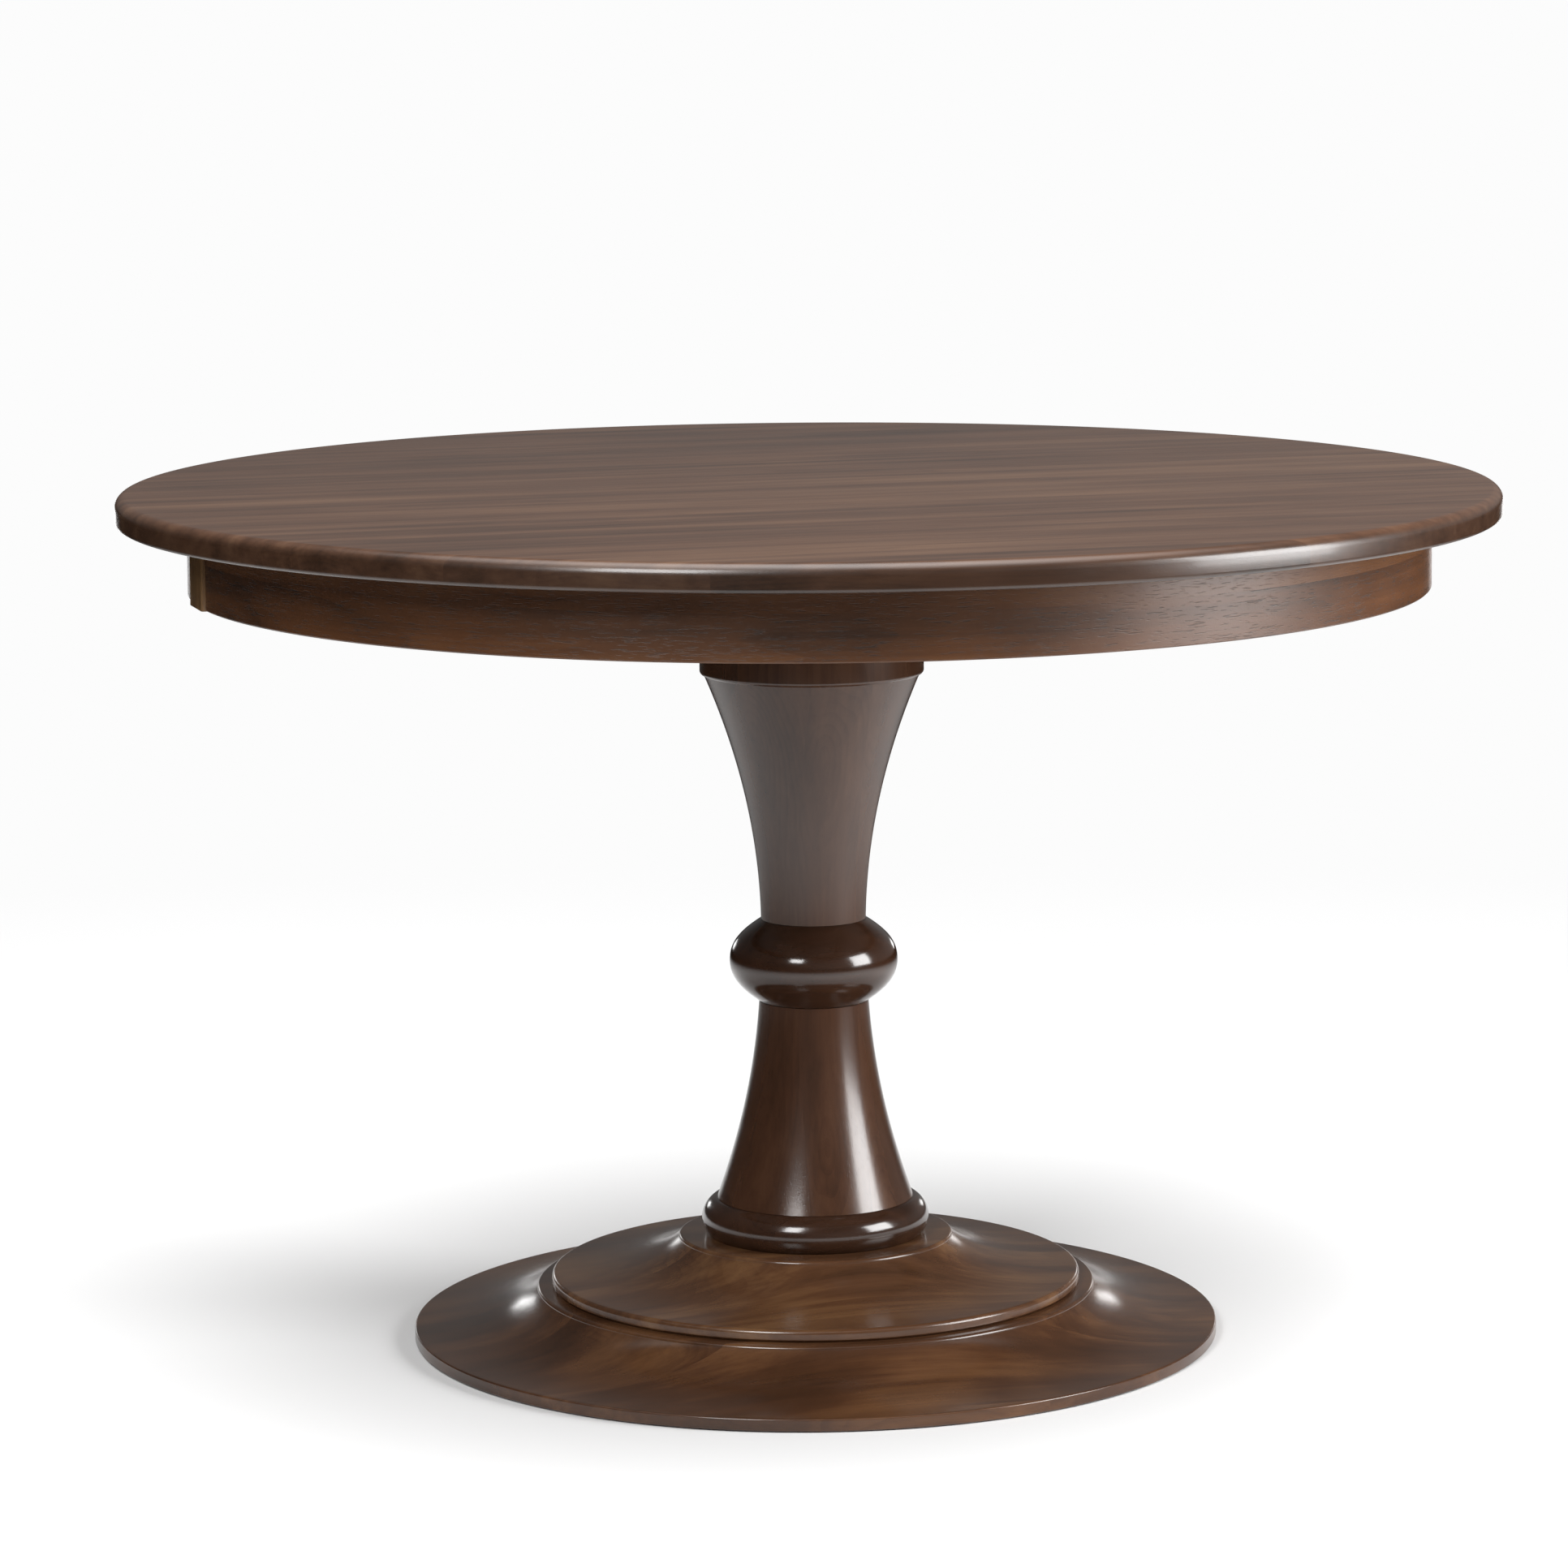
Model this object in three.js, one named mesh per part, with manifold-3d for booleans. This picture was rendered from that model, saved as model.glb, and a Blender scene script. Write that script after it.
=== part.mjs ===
// Tilt top pedestal table: a round top on a turned column, hinged on a block so that it swings upright.
// Millimetres, +Z up. The origin is on the floor under the middle of the base. The hinge axis and the
// grain of the top run along X, and the top swings up at its +Y side.

import * as THREE from 'three';
import { mergeVertices } from 'three/addons/utils/BufferGeometryUtils.js';
import Module from 'manifold-3d';

const wasm = await Module();
wasm.setup();

// Fits between pieces
const seatGap = 0.3;
const boreGap = 0.3;
const cutOverrun = 2;

// Whole table and its round top
const tableHeight = 762;
const topRadius = 609.6;
const topThickness = 24;
const topUpperRound = 10;
const topLowerRound = 4;

// Apron: two half rings that butt against a block at each end of the X axis
const apronOverhang = 61.6;
const apronRadius = topRadius - apronOverhang;
const apronThickness = 20;
const apronDepth = 62.7;
const jointBlockWidth = 50;
const jointBlockProud = 3;
const jointBlockInset = 12;
const jointBlockArris = 1.5;

// Corner blocks that hold the apron to the top
const glueBlockLength = 60;
const glueBlockHeight = 45;
const glueBlockDepth = 32;
const glueBlockNoseShare = 0.45;
const glueBlockAngles = [28, 52, 128, 152];

// Block on the column, and the hinge near its -Y top edge
const blockWidth = 256;
const blockHeight = 90;
const blockChamfer = 8;
const pivotDrop = 30;
const pinRadius = 8;
const pinThreadRadius = 6.5;
const pinBite = 60;
const pinHeadRadius = 14;
const pinHeadThickness = 6;
const pinHeadRound = 3;

// Bearers that straddle the block, with the bushes that turn on the pins
const bearerWidth = 44;
const bearerDepth = 56;
const bearerEndGap = 8;
const bearerNoseLength = 150;
const bearerNoseShare = 0.4;
const bushWall = 3;
const bushFlangeReach = 5;
const bushFlangeThickness = 2;

// Base: two turned tiers of the same section
const lowerTierRadius = 358.8;
const lowerTierEdge = 10.7;
const lowerTierEdgeRound = 1.5;
const lowerTierRise = 34.3;
const lowerSeatRadius = 249.5;
const upperTierRadius = 236;
const upperTierEdge = 10.5;
const upperTierEdgeRound = 4;
const upperTierRise = 33.2;
const upperSeatRadius = 122.5;
const seatRound = 3;
const coveReachShare = 0.25;
const coveLiftShare = 0.06;

// Bead ring under the shaft
const collarRadius = 101.5;
const collarHeight = 32;
const beadRadiusShare = 0.625;
const beadCentreShare = 0.43;

// Lower shaft, knob and vase
const shaftFootRadius = 87.5;
const shaftWaistRadius = 48.8;
const shaftHeight = 177.9;
const shaftBowShare = 0.16;
const knobRadius = 74.8;
const knobHeight = 73.2;
const knobLowerRadius = 48.6;
const knobUpperRadius = 47;
const knobBellyShare = 0.5;
const knobFullShare = 0.46;
const knobShoulderShare = 0.72;
const knobShoulderOutShare = 0.56;
const vaseWaistRadius = 46.7;
const vaseBowShare = 0.04;
const capitalRadius = 99.5;
const capitalHeight = 53.4;
const capitalEdgeRound = 3.5;

// Floor glides, sunk in the lower tier
const glideRadius = 14;
const glideThickness = 3;
const glideExposed = 1;
const glideStemRadius = 4;
const glideStemLength = 8;
const glideInset = 78.8;
const glideCircleRadius = lowerTierRadius - glideInset;
const glideCount = 6;

// Rod that clamps the stack, with its nuts and washers
const rodRadius = 6;
const rodChamferShare = 0.25;
const rodPastNut = 3;
const nutRadius = 11;
const nutHeight = 10.8;
const washerRadius = 18;
const washerThickness = 2.5;
const nutRoom = 6;

// Screws
const bearerScrewLength = 45;
const bearerScrewBite = 15;
const bearerScrewRadius = 2.2;
const bearerScrewHeadRadius = 4.5;
const bearerScrewShares = [-0.82, -0.4, 0.4, 0.82];
const blockScrewLength = 90;
const blockScrewBite = 30;
const blockScrewRadius = 4;
const blockScrewHeadRadius = 8;
const blockScrewReach = 50;
const tierScrewBite = 14;
const tierScrewSink = 9;
const tierScrewRadius = 2.5;
const tierScrewHeadRadius = 5;
const tierScrewCircleRadius = 150;
const tierScrewCount = 4;
const tierScrewTurnShare = 0.5;

// Barrel bolt under the top, and its keeper on the block
const catchRodRadius = 6;
const catchRodLength = 130;
const catchNoseShare = 0.33;
const catchTravel = 18;
const catchStandOff = 4.5;
const catchPlateWidth = 44;
const catchPlateThickness = 2.5;
const catchGuideLength = 16;
const catchGuideWall = 2.5;
const catchGuideFlangeWidth = 30;
const catchGuideFlangeThickness = 2;
const catchEndRoom = 5;
const catchKnobRadius = 7;
const catchKnobStemRadius = 3;
const catchKnobStudRadius = 2;
const catchKnobDrop = 2;
const keeperWidth = 44;
const keeperHeight = 30;
const keeperThickness = 2;
const keeperTopMargin = 1.5;

// Number of flat sides on each kind of round piece
const topSides = 72;
const tierSides = 48;
const columnSides = 36;
const apronSides = 40;
const turningSides = 12;
const rodSides = 8;
const screwSides = 8;
const hexSides = 6;

// Number of steps along each kind of curve
const edgeSteps = 2;
const topRoundSteps = 4;
const coveSteps = 6;
const beadSteps = 7;
const shaftSteps = 8;
const knobSteps = 5;
const vaseSteps = 9;
const blockSteps = 8;
const noseSteps = 6;
const ballSteps = 6;

// Colours and gloss
const walnut = { color: 0x4f3527, roughness: 0.34, metalness: 0 };
const walnutDark = { color: 0x3f2a1f, roughness: 0.34, metalness: 0 };
const walnutInside = { color: 0x5a4030, roughness: 0.6, metalness: 0 };
const steel = { color: 0x9a9a98, roughness: 0.38, metalness: 1 };
const brass = { color: 0xb0894a, roughness: 0.32, metalness: 1 };
const nylon = { color: 0x3a342f, roughness: 0.55, metalness: 0 };

// Half a turn and a quarter turn, in radians
const halfTurn = Math.PI;
const quarterTurn = Math.PI / 2;

// The radius of a flat-sided hole that keeps a gap all round a turning piece of the given radius
const runningRadius = (radius, sides) => (radius + boreGap) / Math.cos(halfTurn / sides);

// Outline points: one point, an arc about a centre, and curves through shares of a box
const at = (x, y) => [new THREE.Vector2(x, y)];

function arc(x, y, radius, from, to, steps) {
  return new THREE.EllipseCurve(x, y, radius, radius, from, to, to < from).getPoints(steps);
}

function bow(start, pull, end, steps) {
  return new THREE.QuadraticBezierCurve(start[0], pull[0], end[0]).getPoints(steps);
}

function swell(start, first, second, end, steps) {
  return new THREE.CubicBezierCurve(start[0], first[0], second[0], end[0]).getPoints(steps);
}

// A turned piece on the Z axis. Its outline runs anticlockwise in radius and height. One that doesn't
// start on the axis is a ring, and closes on its first point.
function turned(outline, sides) {
  const points = outline.filter((point, i) => i === 0 || point.distanceTo(outline[i - 1]) > Number.EPSILON);
  if (points[0].x > 0) points.push(points[0].clone());
  return new THREE.LatheGeometry(points, sides).rotateX(quarterTurn);
}

// A straight piece with its outline in Y and Z, from one X to another
function milled(outline, fromX, toX, holes = []) {
  const shape = new THREE.Shape(outline);
  shape.holes = holes.map((points) => new THREE.Path(points));
  const geometry = new THREE.ExtrudeGeometry(shape, { depth: toX - fromX, bevelEnabled: false, steps: 1 });
  const axes = new THREE.Matrix4().makeBasis(
    new THREE.Vector3(0, 1, 0), new THREE.Vector3(0, 0, 1), new THREE.Vector3(1, 0, 0));
  return geometry.applyMatrix4(axes).translate(fromX, 0, 0);
}

// A flat piece with its outline in X and Y, from one height to another
function sawn(outline, fromZ, toZ, holes = []) {
  const shape = new THREE.Shape(outline);
  shape.holes = holes.map((points) => new THREE.Path(points));
  const geometry = new THREE.ExtrudeGeometry(shape, { depth: toZ - fromZ, bevelEnabled: false, steps: 1 });
  return geometry.translate(0, 0, fromZ);
}

// A rectangle's corners, anticlockwise
function rectangle(lowX, lowY, highX, highY) {
  return [at(lowX, lowY), at(highX, lowY), at(highX, highY), at(lowX, highY)].flat();
}

// A full circle's points, without the repeated last one
const circle = (x, y, radius, sides) => arc(x, y, radius, 0, halfTurn * 2, sides).slice(0, -1);

// Booleans: a geometry becomes a closed solid, and comes back with its cuts made
function toSolid(geometry) {
  const bare = geometry.clone();
  bare.deleteAttribute('normal');
  bare.deleteAttribute('uv');
  const merged = mergeVertices(bare);
  const corners = merged.index.array;
  const triangles = [];
  for (let i = 0; i < corners.length; i += 3) {
    const [a, b, c] = corners.slice(i, i + 3);
    if (a !== b && b !== c && c !== a) triangles.push(a, b, c);
  }
  return new wasm.Manifold(new wasm.Mesh({
    numProp: 3,
    vertProperties: new Float32Array(merged.attributes.position.array),
    triVerts: new Uint32Array(triangles),
  }));
}

function toGeometry(solid) {
  const mesh = solid.getMesh();
  const geometry = new THREE.BufferGeometry();
  geometry.setAttribute('position', new THREE.BufferAttribute(mesh.vertProperties, 3));
  geometry.setIndex(new THREE.BufferAttribute(mesh.triVerts, 1));
  geometry.computeVertexNormals();
  return geometry;
}

function cut(geometry, cutters) {
  return toGeometry(cutters.reduce((solid, cutter) => solid.subtract(toSolid(cutter)), toSolid(geometry)));
}

// The scene graph: one group for each rigid body
const table = new THREE.Group();
const pedestal = new THREE.Group();
const top = new THREE.Group();
const catchBolt = new THREE.Group();
table.add(pedestal, top, catchBolt);

function place(body, name, geometry, look) {
  const mesh = new THREE.Mesh(geometry, new THREE.MeshStandardMaterial(look));
  mesh.name = name;
  body.add(mesh);
  return mesh;
}

// Heights of the stack, from the floor up, and from the top down
const tierBottomZ = glideExposed;
const lowerSeatZ = tierBottomZ + lowerTierEdge + lowerTierRise;
const upperTierBottomZ = lowerSeatZ + seatGap;
const upperSeatZ = upperTierBottomZ + upperTierEdge + upperTierRise;
const collarBottomZ = upperSeatZ + seatGap;
const collarTopZ = collarBottomZ + collarHeight;
const shaftBottomZ = collarTopZ + seatGap;
const shaftTopZ = shaftBottomZ + shaftHeight;
const knobBottomZ = shaftTopZ + seatGap;
const knobTopZ = knobBottomZ + knobHeight;
const vaseBottomZ = knobTopZ + seatGap;
const undersideZ = tableHeight - topThickness;
const hangingZ = undersideZ - seatGap;
const blockTopZ = undersideZ - seatGap;
const blockBottomZ = blockTopZ - blockHeight;
const vaseTopZ = blockBottomZ - seatGap;
const capitalBottomZ = vaseTopZ - capitalHeight;

// Places that several pieces share
const blockReach = blockWidth / 2;
const pivotY = -(blockReach - pivotDrop);
const pivotZ = undersideZ - pivotDrop;
const bearerInnerX = blockReach + seatGap;
const bearerOuterX = bearerInnerX + bearerWidth;
const apronInnerRadius = apronRadius - apronThickness;
const apronClearRadius = apronInnerRadius * Math.cos(quarterTurn / apronSides);
const bearerReach = Math.sqrt(apronClearRadius ** 2 - bearerOuterX ** 2) - bearerEndGap;
const rodBoreRadius = rodRadius + boreGap;
const nutPocketDepth = washerThickness + nutHeight + rodPastNut + seatGap * 4;
const nutPocketRadius = washerRadius + nutRoom;
const lowerPocketZ = tierBottomZ + nutPocketDepth;
const upperPocketZ = blockTopZ - nutPocketDepth;

// Screws: each is turned head down with its tip up, and its hole follows it with a gap
function screwOutline(length, radius, headRadius, grow, sink) {
  const shoulder = headRadius - radius;
  return [
    at(0, -sink), at(headRadius + grow, -sink), sink > 0 ? at(headRadius + grow, 0) : [],
    at(radius + grow, shoulder), at(radius + grow, length - radius * 2), at(0, length + grow),
  ].flat();
}

// Turns a piece that was made upright so that it points down, or along +X, -X or +Y
const pointings = {
  up: (geometry) => geometry,
  down: (geometry) => geometry.rotateX(halfTurn),
  right: (geometry) => geometry.rotateY(quarterTurn),
  left: (geometry) => geometry.rotateY(-quarterTurn),
  back: (geometry) => geometry.rotateX(-quarterTurn),
};

// A set of like screws, numbered, and the holes that they need. A place is the middle of a head's face.
function screwSet(body, name, { length, radius, headRadius, sink, pointing, places }) {
  const make = (outline) => pointings[pointing](turned(outline, screwSides));
  places.forEach((spot, i) => {
    const screw = make(screwOutline(length, radius, headRadius, 0, 0));
    place(body, `${name}_${i + 1}`, screw, steel).position.set(...spot);
  });
  const hole = screwOutline(length, radius, headRadius, boreGap, sink + cutOverrun);
  return places.map((spot) => make(hole).translate(...spot));
}

// Places on a circle, the first on +X or turned by a share of a step
function ringPlaces(count, radius, z, turnShare = 0) {
  return Array.from({ length: count }, (_, i) => {
    const angle = (i + turnShare) / count * halfTurn * 2;
    return [radius * Math.cos(angle), radius * Math.sin(angle), z];
  });
}

// Cylinders that cut bores, along Z or along Y, a little past both ends
function boreAlongZ(x, y, radius, fromZ, toZ, sides) {
  return sawn(circle(x, y, radius, sides), fromZ, toZ);
}

function boreAlongX(y, z, radius, fromX, toX, sides) {
  return milled(circle(y, z, radius, sides), fromX, toX);
}

function boreAlongY(x, z, radius, fromY, toY, sides) {
  return milled(circle(-x, z, radius, sides), fromY, toY).rotateZ(quarterTurn);
}

// Screws and their holes
const bearerMiddleX = (bearerInnerX + bearerOuterX) / 2;
const bearerScrewZ = undersideZ + bearerScrewBite - bearerScrewLength;
const bearerScrewHoles = screwSet(top, 'bearer_screw', {
  length: bearerScrewLength, radius: bearerScrewRadius, headRadius: bearerScrewHeadRadius,
  sink: bearerDepth, pointing: 'up',
  places: [-1, 1].flatMap((side) => bearerScrewShares.map(
    (share) => [side * bearerMiddleX, share * bearerReach, bearerScrewZ])),
});
const blockScrewHoles = screwSet(pedestal, 'block_screw', {
  length: blockScrewLength, radius: blockScrewRadius, headRadius: blockScrewHeadRadius,
  sink: blockHeight, pointing: 'down',
  places: [[-1, -1], [1, -1], [1, 1], [-1, 1]].map(
    ([x, y]) => [x * blockScrewReach, y * blockScrewReach, vaseTopZ - blockScrewBite + blockScrewLength]),
});
const tierScrewHoles = screwSet(pedestal, 'tier_screw', {
  length: upperTierBottomZ + tierScrewBite - tierBottomZ - tierScrewSink,
  radius: tierScrewRadius, headRadius: tierScrewHeadRadius, sink: tierScrewSink, pointing: 'up',
  places: ringPlaces(tierScrewCount, tierScrewCircleRadius, tierBottomZ + tierScrewSink, tierScrewTurnShare),
});

// Barrel bolt's places
const catchPlateTopZ = hangingZ;
const catchPlateBottomZ = catchPlateTopZ - catchPlateThickness;
const catchBarrelInner = catchRodRadius + boreGap;
const catchBarrelOuter = catchBarrelInner + catchGuideWall;
const catchGuideTopZ = catchPlateBottomZ - seatGap;
const catchAxisZ = catchGuideTopZ - catchBarrelOuter;
const catchTipY = blockReach + seatGap + keeperThickness + catchStandOff;
const catchTailY = catchTipY + catchRodLength;
const catchPlateFrontY = catchTipY + catchEndRoom;
const catchPlateBackY = catchTailY - catchEndRoom;
const catchMiddleY = (catchPlateFrontY + catchPlateBackY) / 2;
const catchKnobY = catchMiddleY + catchTravel / 2;
const catchSlot = catchTravel / 2 + catchKnobStemRadius + seatGap;
const guideOffsetY = catchSlot + catchGuideLength / 2;

const keeperInnerY = blockReach + seatGap;
const keeperOuterY = keeperInnerY + keeperThickness;
const keeperTopZ = blockTopZ - keeperTopMargin;

// Base tiers: thin edge, cove that flares from a raised seat, and a bore for the rod
function tierOutline({ radius, edge, edgeRound, rise, seat, bottomZ, inner }) {
  const edgeZ = bottomZ + edge;
  const seatZ = edgeZ + rise;
  const width = radius - seat;
  return [
    at(inner, bottomZ), at(radius - edgeRound / 2, bottomZ), at(radius, bottomZ + edgeRound / 2),
    arc(radius - edgeRound, edgeZ - edgeRound, edgeRound, 0, quarterTurn, edgeSteps),
    bow(
      at(radius - edgeRound, edgeZ),
      at(seat + width * coveReachShare, edgeZ + rise * coveLiftShare),
      at(seat, seatZ - seatRound), coveSteps),
    arc(seat - seatRound, seatZ - seatRound, seatRound, 0, quarterTurn, edgeSteps),
    at(rodBoreRadius, seatZ),
  ].flat();
}

const lowerTier = turned([
  ...tierOutline({
    radius: lowerTierRadius, edge: lowerTierEdge, edgeRound: lowerTierEdgeRound, rise: lowerTierRise,
    seat: lowerSeatRadius, bottomZ: tierBottomZ, inner: nutPocketRadius,
  }),
  ...at(rodBoreRadius, lowerPocketZ), ...at(nutPocketRadius, lowerPocketZ),
], tierSides);

// Floor glides and the stepped pockets that they sit in
const glideTopZ = glideThickness;
const glideSpots = ringPlaces(glideCount, glideCircleRadius, 0);
const glideStemTopZ = glideTopZ + glideStemLength;
const glidePockets = glideSpots.flatMap(([x, y]) => [
  boreAlongZ(x, y, glideRadius + boreGap, tierBottomZ - cutOverrun, glideTopZ + seatGap, turningSides),
  boreAlongZ(x, y, glideStemRadius + boreGap, tierBottomZ, glideStemTopZ + seatGap, turningSides),
]);
place(pedestal, 'base_lower_tier', cut(lowerTier, [...glidePockets, ...tierScrewHoles]), walnut);

glideSpots.forEach((spot, i) => {
  const glide = turned([
    at(0, 0), at(glideRadius - glideExposed, 0), at(glideRadius, glideExposed), at(glideRadius, glideTopZ),
    at(glideStemRadius, glideTopZ), at(glideStemRadius, glideStemTopZ), at(0, glideStemTopZ),
  ].flat(), turningSides);
  place(pedestal, `glide_${i + 1}`, glide, nylon).position.set(...spot);
});

const upperTier = turned(tierOutline({
  radius: upperTierRadius, edge: upperTierEdge, edgeRound: upperTierEdgeRound, rise: upperTierRise,
  seat: upperSeatRadius, bottomZ: upperTierBottomZ, inner: rodBoreRadius,
}), tierSides);
place(pedestal, 'base_upper_tier', cut(upperTier, tierScrewHoles), walnut);

// Bead ring: most of a half round, flat where it lies on the tier and under the shaft
const beadRadius = collarHeight * beadRadiusShare;
const beadCentreZ = collarBottomZ + collarHeight * beadCentreShare;
const beadFrom = Math.asin((collarBottomZ - beadCentreZ) / beadRadius);
const beadTo = Math.asin((collarTopZ - beadCentreZ) / beadRadius);
place(pedestal, 'base_collar', turned([
  at(rodBoreRadius, collarBottomZ),
  arc(collarRadius - beadRadius, beadCentreZ, beadRadius, beadFrom, beadTo, beadSteps),
  at(rodBoreRadius, collarTopZ),
].flat(), columnSides), walnutDark);

// Lower shaft: a bell that narrows in one bow to its waist
const shaftPullRadius = shaftWaistRadius + (shaftFootRadius - shaftWaistRadius) * shaftBowShare;
const shaftMiddleZ = (shaftBottomZ + shaftTopZ) / 2;
place(pedestal, 'column_shaft', turned([
  at(rodBoreRadius, shaftBottomZ),
  bow(
    at(shaftFootRadius, shaftBottomZ), at(shaftPullRadius, shaftMiddleZ),
    at(shaftWaistRadius, shaftTopZ), shaftSteps),
  at(rodBoreRadius, shaftTopZ),
].flat(), columnSides), walnut);

// Knob: fullest at its belly, and drawn in faster towards its ends
const knobBellyZ = knobBottomZ + knobHeight * knobBellyShare;
const knobLowerHeight = knobBellyZ - knobBottomZ;
const knobUpperHeight = knobTopZ - knobBellyZ;
const knobShoulder = (endRadius) => endRadius + (knobRadius - endRadius) * knobShoulderOutShare;
place(pedestal, 'column_knob', turned([
  at(rodBoreRadius, knobBottomZ),
  swell(
    at(knobLowerRadius, knobBottomZ),
    at(knobShoulder(knobLowerRadius), knobBellyZ - knobLowerHeight * knobShoulderShare),
    at(knobRadius, knobBellyZ - knobLowerHeight * knobFullShare),
    at(knobRadius, knobBellyZ), knobSteps),
  swell(
    at(knobRadius, knobBellyZ),
    at(knobRadius, knobBellyZ + knobUpperHeight * knobFullShare),
    at(knobShoulder(knobUpperRadius), knobBellyZ + knobUpperHeight * knobShoulderShare),
    at(knobUpperRadius, knobTopZ), knobSteps),
  at(rodBoreRadius, knobTopZ),
].flat(), columnSides), walnutDark);

// Vase: flares from its waist to the rounded edge of the capital band
const vaseNeckRadius = capitalRadius - capitalEdgeRound;
const vaseMiddleZ = (vaseBottomZ + capitalBottomZ) / 2;
const vase = turned([
  at(rodBoreRadius, vaseBottomZ),
  bow(
    at(vaseWaistRadius, vaseBottomZ),
    at(vaseWaistRadius + (vaseNeckRadius - vaseWaistRadius) * vaseBowShare, vaseMiddleZ),
    at(vaseNeckRadius, capitalBottomZ), vaseSteps),
  arc(vaseNeckRadius, capitalBottomZ + capitalEdgeRound, capitalEdgeRound, -quarterTurn, 0, edgeSteps),
  at(capitalRadius, vaseTopZ),
  at(rodBoreRadius, vaseTopZ),
].flat(), columnSides);
place(pedestal, 'column_vase', cut(vase, blockScrewHoles), walnut);

// Block: its -Y top edge is rounded about the hinge axis, so the top rolls round it
const blockRound = pivotDrop - seatGap;
const blockOutline = [
  at(-blockReach + blockChamfer, blockBottomZ), at(blockReach - blockChamfer, blockBottomZ),
  at(blockReach, blockBottomZ + blockChamfer), at(blockReach, blockTopZ),
  arc(pivotY, pivotZ, blockRound, quarterTurn, halfTurn, blockSteps),
  at(pivotY - blockRound, blockBottomZ + blockChamfer),
].flat();
const sortedSpan = (side, near, far) => [side * near, side * far].sort((a, b) => a - b);
const pinBores = [-1, 1].map((side) => {
  const span = sortedSpan(side, blockReach - pinBite - seatGap, blockReach + cutOverrun);
  return boreAlongX(pivotY, pivotZ, pinThreadRadius + boreGap, ...span, turningSides);
});
const catchSocketEndY = catchTipY - catchTravel - catchEndRoom;
place(pedestal, 'tilt_block', cut(milled(blockOutline, -blockReach, blockReach), [
  boreAlongZ(0, 0, rodBoreRadius, blockBottomZ - cutOverrun, blockTopZ, rodSides),
  boreAlongZ(0, 0, nutPocketRadius, upperPocketZ, blockTopZ + cutOverrun, turningSides),
  boreAlongY(0, catchAxisZ, catchBarrelInner, catchSocketEndY, blockReach + cutOverrun, turningSides),
  ...pinBores, ...blockScrewHoles,
]), walnutInside);

// Rod through the whole column, with a washer and a nut in a pocket at each end
const lowerWasherZ = lowerPocketZ - seatGap - washerThickness;
const lowerNutZ = lowerWasherZ - seatGap - nutHeight;
const upperWasherZ = upperPocketZ + seatGap;
const upperNutZ = upperWasherZ + washerThickness + seatGap;
const rodBottomZ = lowerNutZ - rodPastNut;
const rodTopZ = upperNutZ + nutHeight + rodPastNut;
const rodChamfer = rodRadius * rodChamferShare;
const rodHole = circle(0, 0, rodBoreRadius, rodSides);
const clampEnds = [['bottom', lowerWasherZ, lowerNutZ], ['top', upperWasherZ, upperNutZ]];
place(pedestal, 'tie_rod', turned([
  at(0, rodBottomZ), at(rodRadius - rodChamfer, rodBottomZ), at(rodRadius, rodBottomZ + rodChamfer),
  at(rodRadius, rodTopZ - rodChamfer), at(rodRadius - rodChamfer, rodTopZ), at(0, rodTopZ),
].flat(), rodSides), steel);
for (const [where, washerZ, nutZ] of clampEnds) {
  const disc = circle(0, 0, washerRadius, turningSides);
  const washer = sawn(disc, washerZ, washerZ + washerThickness, [rodHole]);
  const nut = sawn(circle(0, 0, nutRadius, hexSides), nutZ, nutZ + nutHeight, [rodHole]);
  place(pedestal, `tie_rod_washer_${where}`, washer, steel);
  place(pedestal, `tie_rod_nut_${where}`, nut, steel);
}

// Round panel with a fuller round on its upper edge
const topGeometry = turned([
  at(0, undersideZ),
  arc(topRadius - topLowerRound, undersideZ + topLowerRound, topLowerRound, -quarterTurn, 0, edgeSteps),
  arc(
    topRadius - topUpperRound, tableHeight - topUpperRound, topUpperRound,
    0, quarterTurn, topRoundSteps),
  at(0, tableHeight),
].flat(), topSides);
place(top, 'tabletop', cut(topGeometry, bearerScrewHoles), walnut);

// Apron halves, each an arch from one joint block to the other
const apronEndY = jointBlockWidth / 2 + seatGap;
const apronHalf = () => {
  const outerAngle = Math.asin(apronEndY / apronRadius);
  const innerAngle = Math.asin(apronEndY / apronInnerRadius);
  return sawn([
    ...arc(0, 0, apronRadius, outerAngle, halfTurn - outerAngle, apronSides),
    ...arc(0, 0, apronInnerRadius, halfTurn - innerAngle, innerAngle, apronSides),
  ], hangingZ - apronDepth, hangingZ);
};
place(top, 'apron_rear', apronHalf(), walnut);
place(top, 'apron_front', apronHalf(), walnut).rotation.z = halfTurn;

// Joint blocks stand a little proud of the apron, with their two upright arrises taken off
const jointBlockInnerX = apronInnerRadius - jointBlockInset;
const jointBlockOuterX = apronRadius + jointBlockProud;
const jointBlockReach = jointBlockWidth / 2;
const jointBlock = () => sawn([
  at(jointBlockInnerX, -jointBlockReach),
  at(jointBlockOuterX - jointBlockArris, -jointBlockReach),
  at(jointBlockOuterX, -jointBlockReach + jointBlockArris),
  at(jointBlockOuterX, jointBlockReach - jointBlockArris),
  at(jointBlockOuterX - jointBlockArris, jointBlockReach),
  at(jointBlockInnerX, jointBlockReach),
].flat(), hangingZ - apronDepth, hangingZ);
place(top, 'apron_joint_block_right', jointBlock(), walnut);
place(top, 'apron_joint_block_left', jointBlock(), walnut).rotation.z = halfTurn;

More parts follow.
